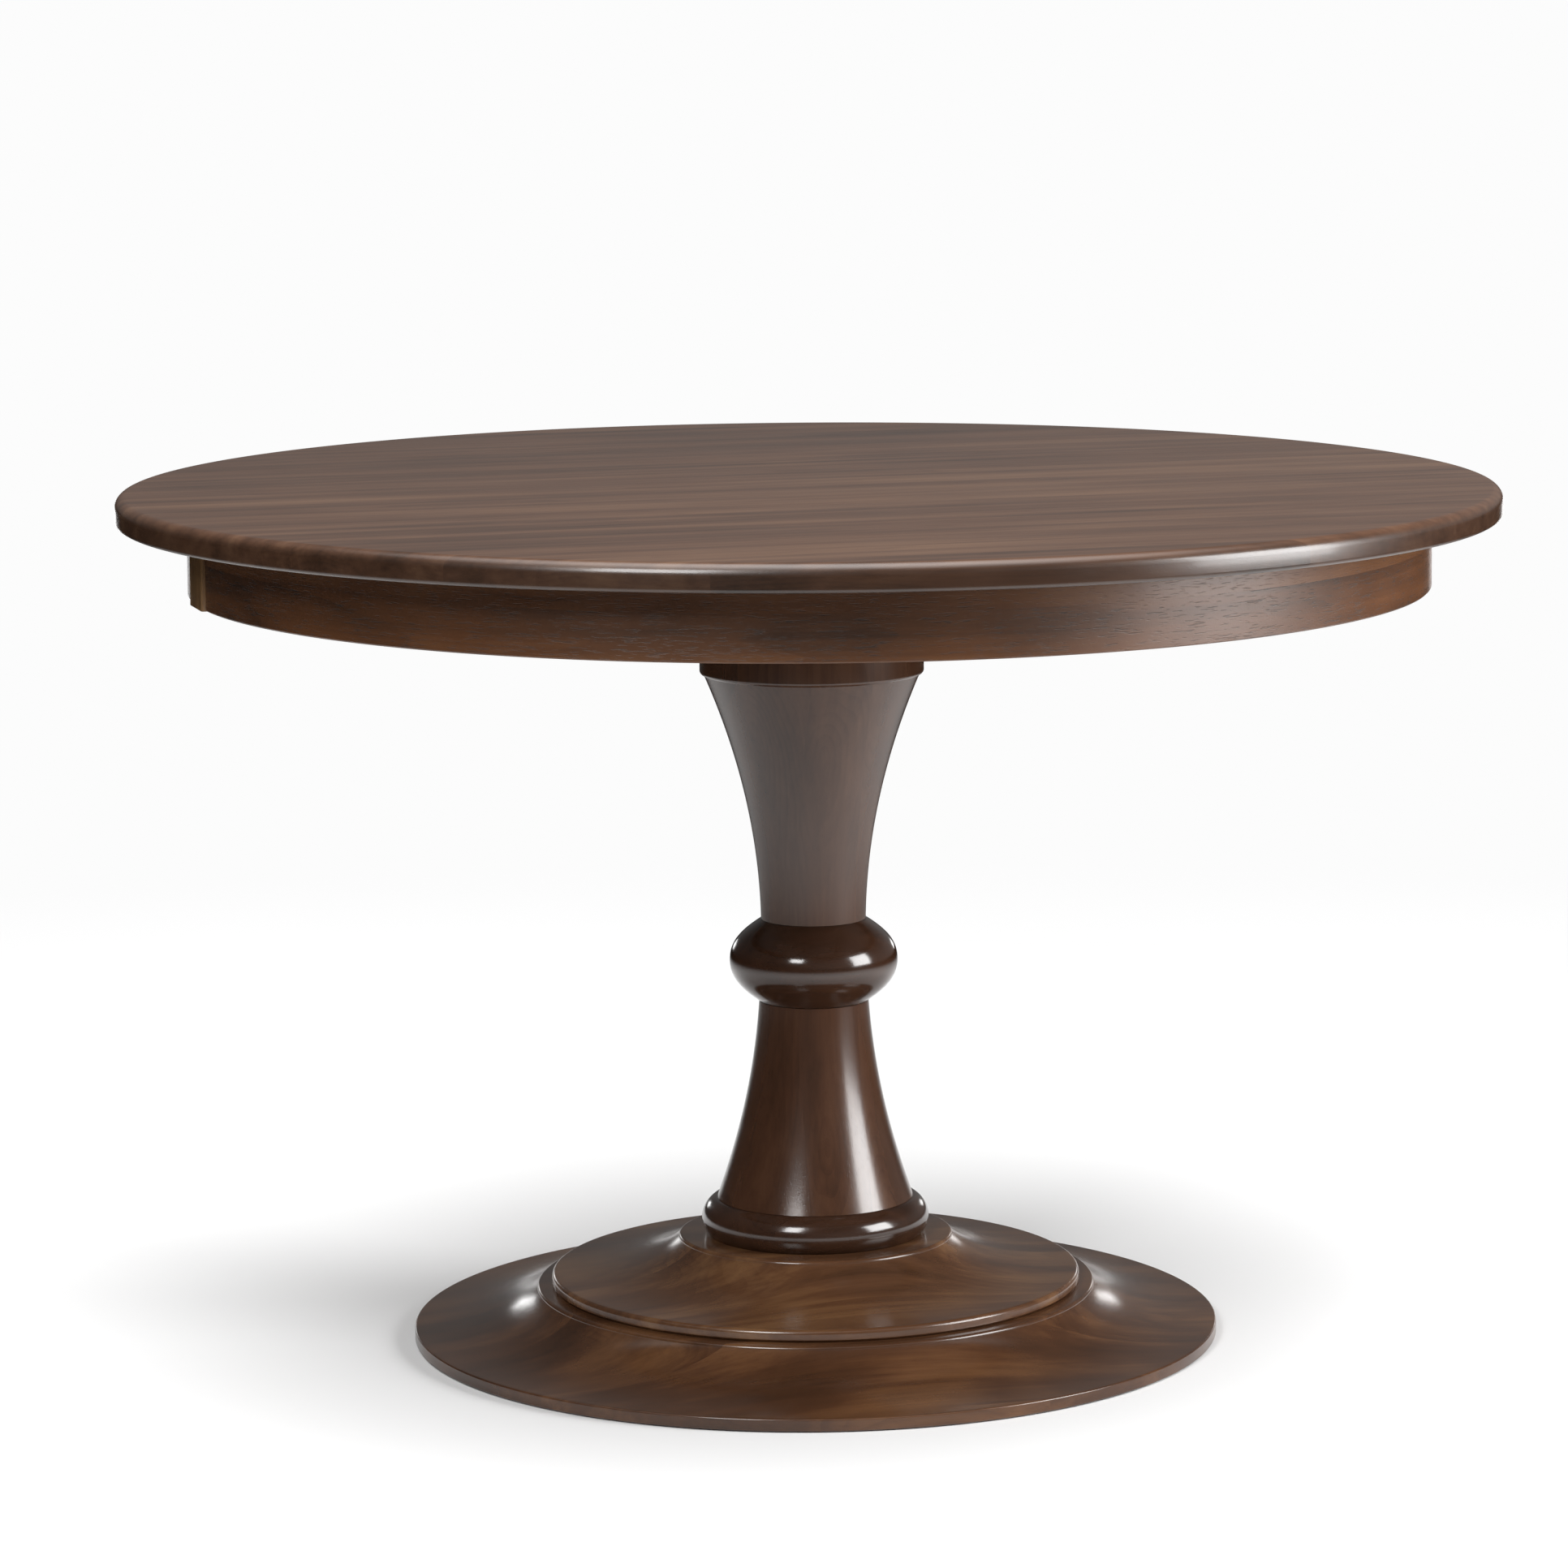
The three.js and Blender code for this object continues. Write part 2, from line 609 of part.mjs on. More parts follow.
// Corner blocks, each made on the X axis and turned to its place
const glueBackRadius = Math.sqrt(apronClearRadius ** 2 - (glueBlockLength / 2) ** 2) - seatGap;
const glueAngles = [...glueBlockAngles, ...glueBlockAngles.map((angle) => -angle)];
glueAngles.forEach((degrees, i) => {
  const nose = glueBlockDepth * glueBlockNoseShare;
  const outline = [
    at(0, 0), at(0, glueBlockHeight), at(-nose, glueBlockHeight),
    at(-glueBlockDepth, glueBlockHeight * glueBlockNoseShare), at(-glueBlockDepth, 0),
  ].flat();
  const half = glueBlockLength / 2;
  const block = milled(outline, -half, half).rotateX(halfTurn).rotateZ(quarterTurn);
  const angle = THREE.MathUtils.degToRad(degrees);
  const mesh = place(top, `glue_block_${i + 1}`, block, walnutInside);
  mesh.rotation.z = angle;
  mesh.position.set(glueBackRadius * Math.cos(angle), glueBackRadius * Math.sin(angle), hangingZ);
});

// Bearers, with their ends swept up to a nose
const bearerBottomZ = hangingZ - bearerDepth;
const noseZ = hangingZ - bearerDepth * bearerNoseShare;
const bushBore = runningRadius(pinRadius, turningSides);
const bushRadius = bushBore + bushWall;
const noseStartY = bearerReach - bearerNoseLength;
const bearerOutline = [
  bow(at(-bearerReach, noseZ), at(-bearerReach, bearerBottomZ), at(-noseStartY, bearerBottomZ), noseSteps),
  bow(at(noseStartY, bearerBottomZ), at(bearerReach, bearerBottomZ), at(bearerReach, noseZ), noseSteps),
  at(bearerReach, hangingZ), at(-bearerReach, hangingZ),
].flat();
for (const [name, side] of [['left', -1], ['right', 1]]) {
  const bore = circle(pivotY, pivotZ, bushRadius + boreGap, turningSides);
  const bearer = milled(bearerOutline, ...sortedSpan(side, bearerInnerX, bearerOuterX), [bore]);
  place(top, `bearer_${name}`, cut(bearer, bearerScrewHoles), walnutInside);

  // The bush and the pin are turned upright, laid along X and set on the hinge axis
  const lay = pointings[side > 0 ? 'right' : 'left'];
  const toSide = (geometry) => lay(geometry).translate(0, pivotY, pivotZ);
  const flangeX = bearerOuterX + seatGap;
  const headX = flangeX + bushFlangeThickness + seatGap;
  place(top, `pivot_bush_${name}`, toSide(turned([
    at(bushBore, bearerInnerX), at(bushRadius, bearerInnerX), at(bushRadius, flangeX),
    at(bushRadius + bushFlangeReach, flangeX),
    at(bushRadius + bushFlangeReach, flangeX + bushFlangeThickness),
    at(bushBore, flangeX + bushFlangeThickness),
  ].flat(), turningSides)), brass);
  place(pedestal, `pivot_pin_${name}`, toSide(turned([
    at(0, blockReach - pinBite), at(pinThreadRadius, blockReach - pinBite),
    at(pinThreadRadius, blockReach + seatGap), at(pinRadius, blockReach + seatGap), at(pinRadius, headX),
    at(pinHeadRadius, headX),
    arc(
      pinHeadRadius - pinHeadRound, headX + pinHeadThickness - pinHeadRound, pinHeadRound,
      0, quarterTurn, edgeSteps),
    at(0, headX + pinHeadThickness),
  ].flat(), turningSides)), steel);
}

// Barrel bolt: plate, two guides and the rod that slides in them
place(top, 'catch_plate', sawn(
  rectangle(-catchPlateWidth / 2, catchPlateFrontY, catchPlateWidth / 2, catchPlateBackY),
  catchPlateBottomZ, catchPlateTopZ), brass);

const guideOutline = [
  at(-catchGuideFlangeWidth / 2, catchGuideTopZ - catchGuideFlangeThickness),
  at(-catchBarrelOuter, catchGuideTopZ - catchGuideFlangeThickness),
  arc(0, catchAxisZ, catchBarrelOuter, halfTurn, halfTurn * 2, turningSides / 2),
  at(catchBarrelOuter, catchGuideTopZ - catchGuideFlangeThickness),
  at(catchGuideFlangeWidth / 2, catchGuideTopZ - catchGuideFlangeThickness),
  at(catchGuideFlangeWidth / 2, catchGuideTopZ), at(-catchGuideFlangeWidth / 2, catchGuideTopZ),
].flat();
const guideHole = circle(0, catchAxisZ, catchBarrelInner, turningSides);
for (const [name, y] of [['front', catchMiddleY - guideOffsetY], ['rear', catchMiddleY + guideOffsetY]]) {
  const guide = milled(guideOutline, -catchGuideLength / 2, catchGuideLength / 2, [guideHole]);
  place(top, `catch_guide_${name}`, guide.rotateZ(quarterTurn).translate(0, y, 0), brass);
}

const catchNose = catchRodRadius * catchNoseShare;
const catchRod = pointings.back(turned([
  at(0, 0), at(catchRodRadius - catchNose, 0), at(catchRodRadius, catchNose),
  at(catchRodRadius, catchRodLength - catchNose), at(catchRodRadius - catchNose, catchRodLength),
  at(0, catchRodLength),
].flat(), turningSides)).translate(0, catchTipY, catchAxisZ);
const studBore = boreAlongZ(
  0, catchKnobY, catchKnobStudRadius + boreGap,
  catchAxisZ - catchRodRadius - cutOverrun, catchAxisZ, screwSides);
place(catchBolt, 'catch_rod', cut(catchRod, [studBore]), brass);

// Knob: a stud in the rod, a stem between the guides and a turned ball
const stemTop = catchRodRadius + seatGap;
const ballCentre = catchBarrelOuter + catchKnobDrop + catchKnobRadius;
place(catchBolt, 'catch_knob', turned([
  arc(
    0, -ballCentre, catchKnobRadius,
    -quarterTurn, Math.acos(catchKnobStemRadius / catchKnobRadius), ballSteps),
  at(catchKnobStemRadius, -stemTop),
  at(catchKnobStudRadius, -stemTop), at(catchKnobStudRadius, -seatGap), at(0, -seatGap),
].flat(), rodSides), brass).position.set(0, catchKnobY, catchAxisZ);

// Keeper on the block, round the hole that the rod shoots into
const keeperOutline = rectangle(keeperInnerY, keeperTopZ - keeperHeight, keeperOuterY, keeperTopZ);
const keeperHole = boreAlongY(
  0, catchAxisZ, catchBarrelInner, keeperInnerY - cutOverrun, keeperOuterY + cutOverrun, turningSides);
const keeperBlank = milled(keeperOutline, -keeperWidth / 2, keeperWidth / 2);
place(pedestal, 'keeper_plate', cut(keeperBlank, [keeperHole]), brass);

export default table;
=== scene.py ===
import math

import bmesh
import bpy
from mathutils import Matrix, Vector


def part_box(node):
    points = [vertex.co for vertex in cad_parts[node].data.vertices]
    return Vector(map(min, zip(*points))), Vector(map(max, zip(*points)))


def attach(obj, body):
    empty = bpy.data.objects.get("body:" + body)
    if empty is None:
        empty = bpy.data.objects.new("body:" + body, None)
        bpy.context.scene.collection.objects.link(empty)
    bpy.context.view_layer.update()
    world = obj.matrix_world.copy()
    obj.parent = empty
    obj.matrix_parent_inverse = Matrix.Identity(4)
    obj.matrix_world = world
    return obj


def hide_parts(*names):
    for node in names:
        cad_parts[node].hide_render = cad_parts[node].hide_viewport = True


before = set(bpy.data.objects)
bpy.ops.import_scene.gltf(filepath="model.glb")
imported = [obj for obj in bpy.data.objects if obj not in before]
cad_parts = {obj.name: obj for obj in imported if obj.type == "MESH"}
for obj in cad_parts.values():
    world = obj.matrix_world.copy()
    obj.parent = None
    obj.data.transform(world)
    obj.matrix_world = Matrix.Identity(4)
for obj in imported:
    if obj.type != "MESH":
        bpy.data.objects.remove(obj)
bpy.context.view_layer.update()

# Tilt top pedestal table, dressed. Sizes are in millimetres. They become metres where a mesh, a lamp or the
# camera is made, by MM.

MM = 0.001
TURN = math.tau
QUARTER = math.pi / 2


# ---------- Sizes of what the solids leave to this file ----------

# How finely it is drawn
TOP_SIDES = 288
TIER_SIDES = 240
COLUMN_SIDES = 192
FITTING_SIDES = 48
APRON_STEPS = 220
ROUND_STEPS = 8
CURVE_STEPS = 40
EASE_STEPS = 3
SCREW_SIDES = 20
SCREW_STEPS = 4
SHARP_ANGLE = math.radians(28)
FLAT_ANGLE = math.radians(1)
JOIN_DISTANCE = 0.01
SEAM_DISTANCE = 0.0001

# How far arrises are taken off
FRAME_EASE = 2.0
WOOD_EASE = 0.8
NUT_EASE = 0.6
PLATE_EASE = 0.4
ROUND_PROFILE = 0.5

# Small screws. The shares are of the head's radius or height.
SCREW_HEIGHT_SHARE = 0.5
SCREW_DOME_SHARE = 0.85
SCREW_BITE = 0.15
SLOT_WIDTH_SHARE = 0.28
SLOT_LIFT_SHARE = 0.6
SLOT_LENGTH_SHARE = 3.0

# Where the small screws sit, and the seed that turns the slots of each group
SCREW_INSET = 6
PLATE_SCREW_RADIUS = 3.4
GUIDE_SCREW_RADIUS = 2.4
GUIDE_SCREW_X = 12
GUIDE_FLANGE = 2
GLUE_SCREW_RADIUS = 4.2
GLUE_SCREW_REACH = 17
GLUE_SCREW_DROP = 11
PLATE_SEED = 5
GUIDE_SEED = 6
KEEPER_SEED = 8
GLUE_SEED = 9

# Pins, bushes, bolt and rod
BLOCK_REACH = 128
PIN_RADIUS = 8
PIN_THREAD_RADIUS = 6.5
PIN_HEAD_RADIUS = 14
PIN_HEAD_THICKNESS = 6
PIN_HEAD_ROUND = 3
PIN_SLOT_WIDTH = 2.4
PIN_SLOT_DEPTH = 2
BUSH_BORE = 8.3
BUSH_RADIUS = 11.3
BUSH_FLANGE = 2
BUSH_ROUND = 0.6
ROD_NOSE = 2
KNOB_STEM_RADIUS = 3
KNOB_STUD_RADIUS = 2
THREAD_PITCH = 1.75
THREAD_DEPTH = 0.9
THREAD_TURNS = 22
THREAD_FLANKS = (0.1, 0.45, 0.55, 0.9)

# Top and apron
SEAT_GAP = 0.3
TOP_UPPER_ROUND = 10
TOP_LOWER_ROUND = 4
APRON_THICKNESS = 20
APRON_ARRIS = 1.2

# Base tiers, with the bore for the rod and the pockets in the underside
LOWER_EDGE = 10.7
LOWER_EDGE_ROUND = 1.5
LOWER_SEAT_RADIUS = 249.5
UPPER_EDGE = 10.5
UPPER_EDGE_ROUND = 4
UPPER_SEAT_RADIUS = 122.5
SEAT_ROUND = 3
COVE_REACH_SHARE = 0.25
COVE_LIFT_SHARE = 0.06
ROD_BORE = 6.3
NUT_POCKET_RADIUS = 24
NUT_POCKET_DEPTH = 17.5
GLIDE_POCKET_DEPTH = 3
SCREW_HEAD_DEPTH = 2.5
DRILL_START = -2

# Column
BEAD_RADIUS_SHARE = 0.625
BEAD_CENTRE_SHARE = 0.43
SHAFT_WAIST_RADIUS = 48.8
SHAFT_BOW_SHARE = 0.16
KNOB_LOWER_RADIUS = 48.6
KNOB_UPPER_RADIUS = 47
KNOB_FULL_SHARE = 0.46
KNOB_SHOULDER_SHARE = 0.72
KNOB_SHOULDER_OUT_SHARE = 0.56
VASE_WAIST_RADIUS = 46.7
VASE_BOW_SHARE = 0.04
CAPITAL_HEIGHT = 53.4
CAPITAL_EDGE_ROUND = 3.5


# ---------- Outlines, drawn anticlockwise in radius and height ----------

def arc(x, y, radius, start, end, steps=ROUND_STEPS):
    """Points on an arc about x, y."""
    angles = [start + (end - start) * i / steps for i in range(steps + 1)]
    return [(x + radius * math.cos(a), y + radius * math.sin(a)) for a in angles]


def curve(*corners):
    """Points on a Bezier curve with any number of control corners."""
    points = []
    for i in range(CURVE_STEPS + 1):
        level = [Vector(c) for c in corners]
        while len(level) > 1:
            level = [a.lerp(b, i / CURVE_STEPS) for a, b in zip(level, level[1:])]
        points.append(tuple(level[0]))
    return points


def box_mm(node):
    """The lowest and the highest corner of a CAD node, in millimetres."""
    return [[v / MM for v in corner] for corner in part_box(node)]


def centre_mm(node):
    """The middle of a CAD node, in millimetres."""
    return [(low + high) / 2 for low, high in zip(*box_mm(node))]


def span(node):
    """Lowest height, highest height and widest radius of a round CAD node, in millimetres."""
    low, high = box_mm(node)
    return low[2], high[2], high[0]


def closed(outline):
    return outline + outline[:1]


def bored(bottom, top, side):
    """The outer side of a turned piece, closed round the bore for the rod."""
    return closed([(ROD_BORE, bottom), *side, (ROD_BORE, top)])


def top_outline():
    bottom, top, radius = span("tabletop")
    return [
        (0, bottom),
        *arc(radius - TOP_LOWER_ROUND, bottom + TOP_LOWER_ROUND, TOP_LOWER_ROUND, -QUARTER, 0),
        *arc(radius - TOP_UPPER_ROUND, top - TOP_UPPER_ROUND, TOP_UPPER_ROUND, 0, QUARTER, ROUND_STEPS * 2),
        (0, top),
    ]


def tier_outline(node, edge, edge_round, seat, inner):
    """A thin edge, a cove that flares from a raised seat, and a bore."""
    bottom, top, radius = span(node)
    edge_top = bottom + edge
    outline = [
        (inner, bottom), (radius - edge_round / 2, bottom), (radius, bottom + edge_round / 2),
        *arc(radius - edge_round, edge_top - edge_round, edge_round, 0, QUARTER),
        *curve(
            (radius - edge_round, edge_top),
            (seat + (radius - seat) * COVE_REACH_SHARE, edge_top + (top - edge_top) * COVE_LIFT_SHARE),
            (seat, top - SEAT_ROUND)),
        *arc(seat - SEAT_ROUND, top - SEAT_ROUND, SEAT_ROUND, 0, QUARTER),
        (ROD_BORE, top),
    ]
    if inner > ROD_BORE:
        outline += [(ROD_BORE, bottom + NUT_POCKET_DEPTH), (inner, bottom + NUT_POCKET_DEPTH)]
    return closed(outline)


def collar_outline():
    bottom, top, radius = span("base_collar")
    bead = (top - bottom) * BEAD_RADIUS_SHARE
    centre = bottom + (top - bottom) * BEAD_CENTRE_SHARE
    start, end = math.asin((bottom - centre) / bead), math.asin((top - centre) / bead)
    return bored(bottom, top, arc(radius - bead, centre, bead, start, end, CURVE_STEPS))


def shaft_outline():
    bottom, top, foot = span("column_shaft")
    pull = SHAFT_WAIST_RADIUS + (foot - SHAFT_WAIST_RADIUS) * SHAFT_BOW_SHARE
    return bored(bottom, top, curve((foot, bottom), (pull, (bottom + top) / 2), (SHAFT_WAIST_RADIUS, top)))


def knob_outline():
    bottom, top, radius = span("column_knob")
    middle, half = (bottom + top) / 2, (top - bottom) / 2

    def shoulder(end):
        return end + (radius - end) * KNOB_SHOULDER_OUT_SHARE

    below = curve(
        (KNOB_LOWER_RADIUS, bottom), (shoulder(KNOB_LOWER_RADIUS), middle - half * KNOB_SHOULDER_SHARE),
        (radius, middle - half * KNOB_FULL_SHARE), (radius, middle))
    above = curve(
        (radius, middle), (radius, middle + half * KNOB_FULL_SHARE),
        (shoulder(KNOB_UPPER_RADIUS), middle + half * KNOB_SHOULDER_SHARE), (KNOB_UPPER_RADIUS, top))
    return bored(bottom, top, below + above)


def vase_outline():
    bottom, top, radius = span("column_vase")
    neck, capital = radius - CAPITAL_EDGE_ROUND, top - CAPITAL_HEIGHT
    pull = VASE_WAIST_RADIUS + (neck - VASE_WAIST_RADIUS) * VASE_BOW_SHARE
    return bored(bottom, top, [
        *curve((VASE_WAIST_RADIUS, bottom), (pull, (bottom + capital) / 2), (neck, capital)),
        *arc(neck, capital + CAPITAL_EDGE_ROUND, CAPITAL_EDGE_ROUND, -QUARTER, 0),
        (radius, top),
    ])


# ---------- Node trees: one way to add a node, and short names for what repeats ----------

def add(tree, kind, inputs=None, stops=None, **settings):
    """A node with its settings. Each input is a value or another node's output, and stops fill a ramp."""
    made = tree.nodes.new(kind)
    for name, value in settings.items():
        setattr(made, name, value)
    for socket, value in (inputs or {}).items():
        if isinstance(value, bpy.types.NodeSocket):
            tree.links.new(value, made.inputs[socket])
        else:
            made.inputs[socket].default_value = value
    for i, (place, colour) in enumerate(stops or []):
        ramp = made.color_ramp.elements
        stop = ramp[i] if i < len(ramp) else ramp.new(place)
        stop.position, stop.color = place, colour
    return made


def maths(tree, operation, *values):
    """Arithmetic on one to three numbers."""
    return add(tree, "ShaderNodeMath", dict(enumerate(values)), operation=operation).outputs[0]


def vectors(tree, operation, *values, result=0):
    """Arithmetic on one or two vectors. The result is a vector, or with "Value" a number."""
    inputs = dict(enumerate(values))
    return add(tree, "ShaderNodeVectorMath", inputs, operation=operation).outputs[result]


def scaled(tree, vector, factor):
    """A vector or a colour times a number."""
    return add(tree, "ShaderNodeVectorMath", {0: vector, "Scale": factor}, operation="SCALE").outputs[0]


def parted(tree, vector):
    """The numbers of a vector, by the names X, Y and Z."""
    return add(tree, "ShaderNodeSeparateXYZ", {0: vector}).outputs


def joined(tree, x, y, z):
    """A vector of three numbers."""
    return add(tree, "ShaderNodeCombineXYZ", {0: x, 1: y, 2: z}).outputs[0]


def ranged(tree, value, low, high, to_low=0.0, to_high=1.0, soft=False):
    """A number taken from one range to another, and held at its ends."""
    return add(
        tree, "ShaderNodeMapRange",
        {"Value": value, "From Min": low, "From Max": high, "To Min": to_low, "To Max": to_high},
        interpolation_type="SMOOTHSTEP" if soft else "LINEAR").outputs[0]


def noise(tree, place, scale, detail, roughness=0.5):
    return add(
        tree, "ShaderNodeTexNoise",
        {"Vector": place, "Scale": scale, "Detail": detail, "Roughness": roughness}).outputs["Fac"]


def bump(tree, height, strength, depth, under=None, invert=False):
    """The normal of a relief with a depth in millimetres, on top of another one or on the plain surface."""
    inputs = {"Height": height, "Strength": strength, "Distance": depth * MM}
    if under is not None:
        inputs["Normal"] = under
    return add(tree, "ShaderNodeBump", inputs, invert=invert).outputs["Normal"]


def linear(text):
    """An sRGB hex colour as linear red, green, blue and alpha."""
    parts = [int(text[i:i + 2], 16) / 255 for i in (0, 2, 4)]
    return tuple(p / 12.92 if p <= 0.04045 else ((p + 0.055) / 1.055) ** 2.4 for p in parts) + (1.0,)


def toned(tree, value, places, tones):
    """A colour from hex tones, each at its place on a ramp."""
    stops = [(place, linear(tone)) for place, tone in zip(places, tones)]
    return add(tree, "ShaderNodeValToRGB", {"Fac": value}, stops=stops).outputs["Color"]


# ---------- Finishes ----------

def new_finish(name):
    """A material with a Principled surface, its tree and the shader node."""
    finish = bpy.data.materials.new(name)
    finish.use_nodes = True
    finish.node_tree.nodes.clear()
    tree = finish.node_tree
    shader = add(tree, "ShaderNodeBsdfPrincipled")
    add(tree, "ShaderNodeOutputMaterial", {"Surface": shader.outputs["BSDF"]})
    return finish, tree, shader


def in_millimetres(tree):
    """The object's own coordinates, in millimetres."""
    return scaled(tree, add(tree, "ShaderNodeTexCoord").outputs["Object"], 1 / MM)


def surface(tree, shader, colour, gloss, normal):
    for socket, value in {"Base Color": colour, "Roughness": gloss, "Normal": normal}.items():
        tree.links.new(value, shader.inputs[socket])


# Walnut, stained brown and sprayed with satin lacquer. Sawn into boards, glued side by side, planed and
# sanded: long soft streaks, faint growth rings, short dark pores, a tone for each board, and a clear film
# that mirrors the lights softly. Boards are 56 to 240 wide, growth rings 5.2 apart, and the finest streaks
# about 5 wide and 260 long. Real pores are 0.2 wide, too fine for the picture, so they are drawn 1.1 wide.
# Noise in the wood: length along the grain, width across it, detail and roughness.
FINE_STREAKS = (260, 5, 4.0, 0.6)
SOFT_STREAKS = (420, 15, 3.0, 0.5)
BROAD_STREAKS = (800, 42, 2.0, 0.5)
STAIN_CLOUDS = (150, 90, 3.0, 0.5)
HAZE_CLOUDS = (60, 40, 3.0, 0.5)
RING_WANDER = (420, 70, 2.0, 0.5)
RING_FIGURE = (500, 40, 1.0, 0.5)
PORES = (12, 1.1, 1.0, 0.5)
# Boards jump along the log and into it. Rings end in dark late wood, where the figure lets them show.
BOARD_JUMP = 4000
BOARD_DROP = 90
RING_WIDTH = 5.2
RING_BEND = 42
LATE_START = 0.35
LATE_END = 0.97
FIGURE_LIMITS = (0.35, 0.7)
PORE_LIMITS = (0.58, 0.7)
# How much each of them counts in the tone, and where the three tones lie on it
MIDDLE_TONE = 0.5
STREAK_WEIGHTS = ((FINE_STREAKS, 0.7), (SOFT_STREAKS, 1.0), (BROAD_STREAKS, 1.3))
BOARD_WEIGHT = 0.2
PORE_WEIGHT = 0.2
WALNUT_STOPS = (0.12, 0.5, 0.88)
# Painted shade on the sides: full darkening where the normal's Z is 0.3 or less, none from 0.97 up
SIDE_SHADE_LIMITS = (0.3, 0.97)
# The film
HAZE_BELOW = 0.05
HAZE_ABOVE = 0.06
PORE_HAZE = 0.12
PORE_STRENGTH = 0.5
PORE_DEPTH = 0.2
RIPPLE_WIDTH = 2.6
RIPPLE_STRENGTH = 0.35
RIPPLE_DEPTH = 0.06
LACQUER_IOR = 1.5
COAT_ROUGHNESS = 0.12


def walnut(name, lie, board, shift, tones, seed, ring, streak, blotch, rough, coat=0.25, pore=1.0, side_shade=0.0):
    """lie says how the wood lies: 'across' has its grain along X, 'upright' along Z, 'bent' round the Z axis.
    The last argument is painted shade: how much darker the colour is drawn where the surface turns away from
    the upper face, for light that falls mostly from above."""
    finish, tree, shader = new_finish(name)
    metric = in_millimetres(tree)
    axes = parted(tree, metric)
    if lie == "bent":
        angle = maths(tree, "ARCTAN2", axes["Y"], axes["X"])
        along = maths(tree, "MULTIPLY", angle, span("apron_front")[2])
        across = axes["Z"]
        deep = vectors(tree, "LENGTH", vectors(tree, "MULTIPLY", metric, (1, 1, 0)), result="Value")
    else:
        along, across, deep = (axes[axis] for axis in {"across": "XYZ", "upright": "ZXY"}[lie])

    # Which board, its own random numbers, and the place inside it
    share = maths(tree, "DIVIDE", maths(tree, "ADD", across, shift), board)
    number = maths(tree, "ADD", maths(tree, "FLOOR", share), seed)
    own = add(tree, "ShaderNodeTexWhiteNoise", {"W": number}, noise_dimensions="1D").outputs["Color"]
    chance = parted(tree, own)
    run = maths(tree, "MULTIPLY_ADD", chance["X"], BOARD_JUMP, along)
    off = maths(tree, "SUBTRACT", maths(tree, "FRACT", share), chance["Y"])
    wide = maths(tree, "MULTIPLY", off, board)
    low = maths(tree, "MULTIPLY_ADD", chance["Z"], BOARD_DROP, deep)
    grain = joined(tree, run, wide, low)

    def cloud(length, width, detail, roughness):
        """Noise with features of that length along the grain and that width across it."""
        place = vectors(tree, "MULTIPLY", grain, (1 / length, 1 / width, 1 / width))
        return noise(tree, place, 1.0, detail, roughness)

    # Growth rings about a pith that lies off each board, bent by a slow noise
    bend = maths(tree, "MULTIPLY", cloud(*RING_WANDER), RING_BEND)
    pith = vectors(tree, "LENGTH", vectors(tree, "MULTIPLY", grain, (0, 1, 1)), result="Value")
    years = maths(tree, "DIVIDE", maths(tree, "ADD", pith, bend), RING_WIDTH)
    season = maths(tree, "FRACT", years)
    late = ranged(tree, season, LATE_START, LATE_END, soft=True)
    fade = ranged(tree, season, 1.0, LATE_END, soft=True)
    figured = ranged(tree, cloud(*RING_FIGURE), *FIGURE_LIMITS)
    rings = maths(tree, "MULTIPLY", maths(tree, "MULTIPLY", late, fade), figured)

    # Streaks of stain, clouds where it soaked in, and pores
    pores = ranged(tree, cloud(*PORES), *PORE_LIMITS, soft=True)
    tone = MIDDLE_TONE
    for part, weight in (
        *((cloud(*streaks), streak * weight) for streaks, weight in STREAK_WEIGHTS),
        (chance["Z"], BOARD_WEIGHT),
        (cloud(*STAIN_CLOUDS), blotch),
    ):
        part = maths(tree, "SUBTRACT", part, MIDDLE_TONE)
        tone = maths(tree, "MULTIPLY_ADD", part, weight, tone)
    for part, weight in ((rings, -ring), (pores, -PORE_WEIGHT * pore)):
        tone = maths(tree, "MULTIPLY_ADD", part, weight, tone)
    colour = toned(tree, tone, WALNUT_STOPS, tones)
    # Painted shade: sides, edges and underside are drawn darker than the upper face, for light that falls
    # mostly from above
    if side_shade:
        facing = parted(tree, add(tree, "ShaderNodeTexCoord").outputs["Normal"])["Z"]
        colour = scaled(tree, colour, ranged(tree, facing, *SIDE_SHADE_LIMITS, 1.0 - side_shade, 1.0))

    # The film: a little rougher over open pores and in slow clouds, faintly rippled as sprayed lacquer is
    haze = ranged(tree, cloud(*HAZE_CLOUDS), 0.0, 1.0, rough - HAZE_BELOW, rough + HAZE_ABOVE)
    gloss = maths(tree, "MULTIPLY_ADD", pores, PORE_HAZE * pore, haze)
    dents = bump(tree, pores, PORE_STRENGTH * pore, PORE_DEPTH, invert=True)
    ripple = noise(tree, metric, 1 / RIPPLE_WIDTH, 1.0)
    surface(tree, shader, colour, gloss, bump(tree, ripple, RIPPLE_STRENGTH, RIPPLE_DEPTH, under=dents))
    shader.inputs["IOR"].default_value = LACQUER_IOR
    shader.inputs["Coat Weight"].default_value = coat
    shader.inputs["Coat Roughness"].default_value = COAT_ROUGHNESS
    return finish


# Poplar for the hidden frame, planed, brushed with thin brown stain and left without a film: dull and
# streaky, with the raised fibres catching light. Real fibres are far finer, and they are drawn 1 wide and
# 60 long. Bands of stain are 16 times as large.
FIBRE_LENGTH = 60
FIBRE_WIDTH = 1
FIBRE_WEIGHT = 0.45
BAND_SIZE = 16
FRAME_STOPS = (0.45, 0.72, 1.0)
FRAME_ROUGHNESS = (0.5, 0.75)
FIBRE_STRENGTH = 0.5
FIBRE_DEPTH = 0.2


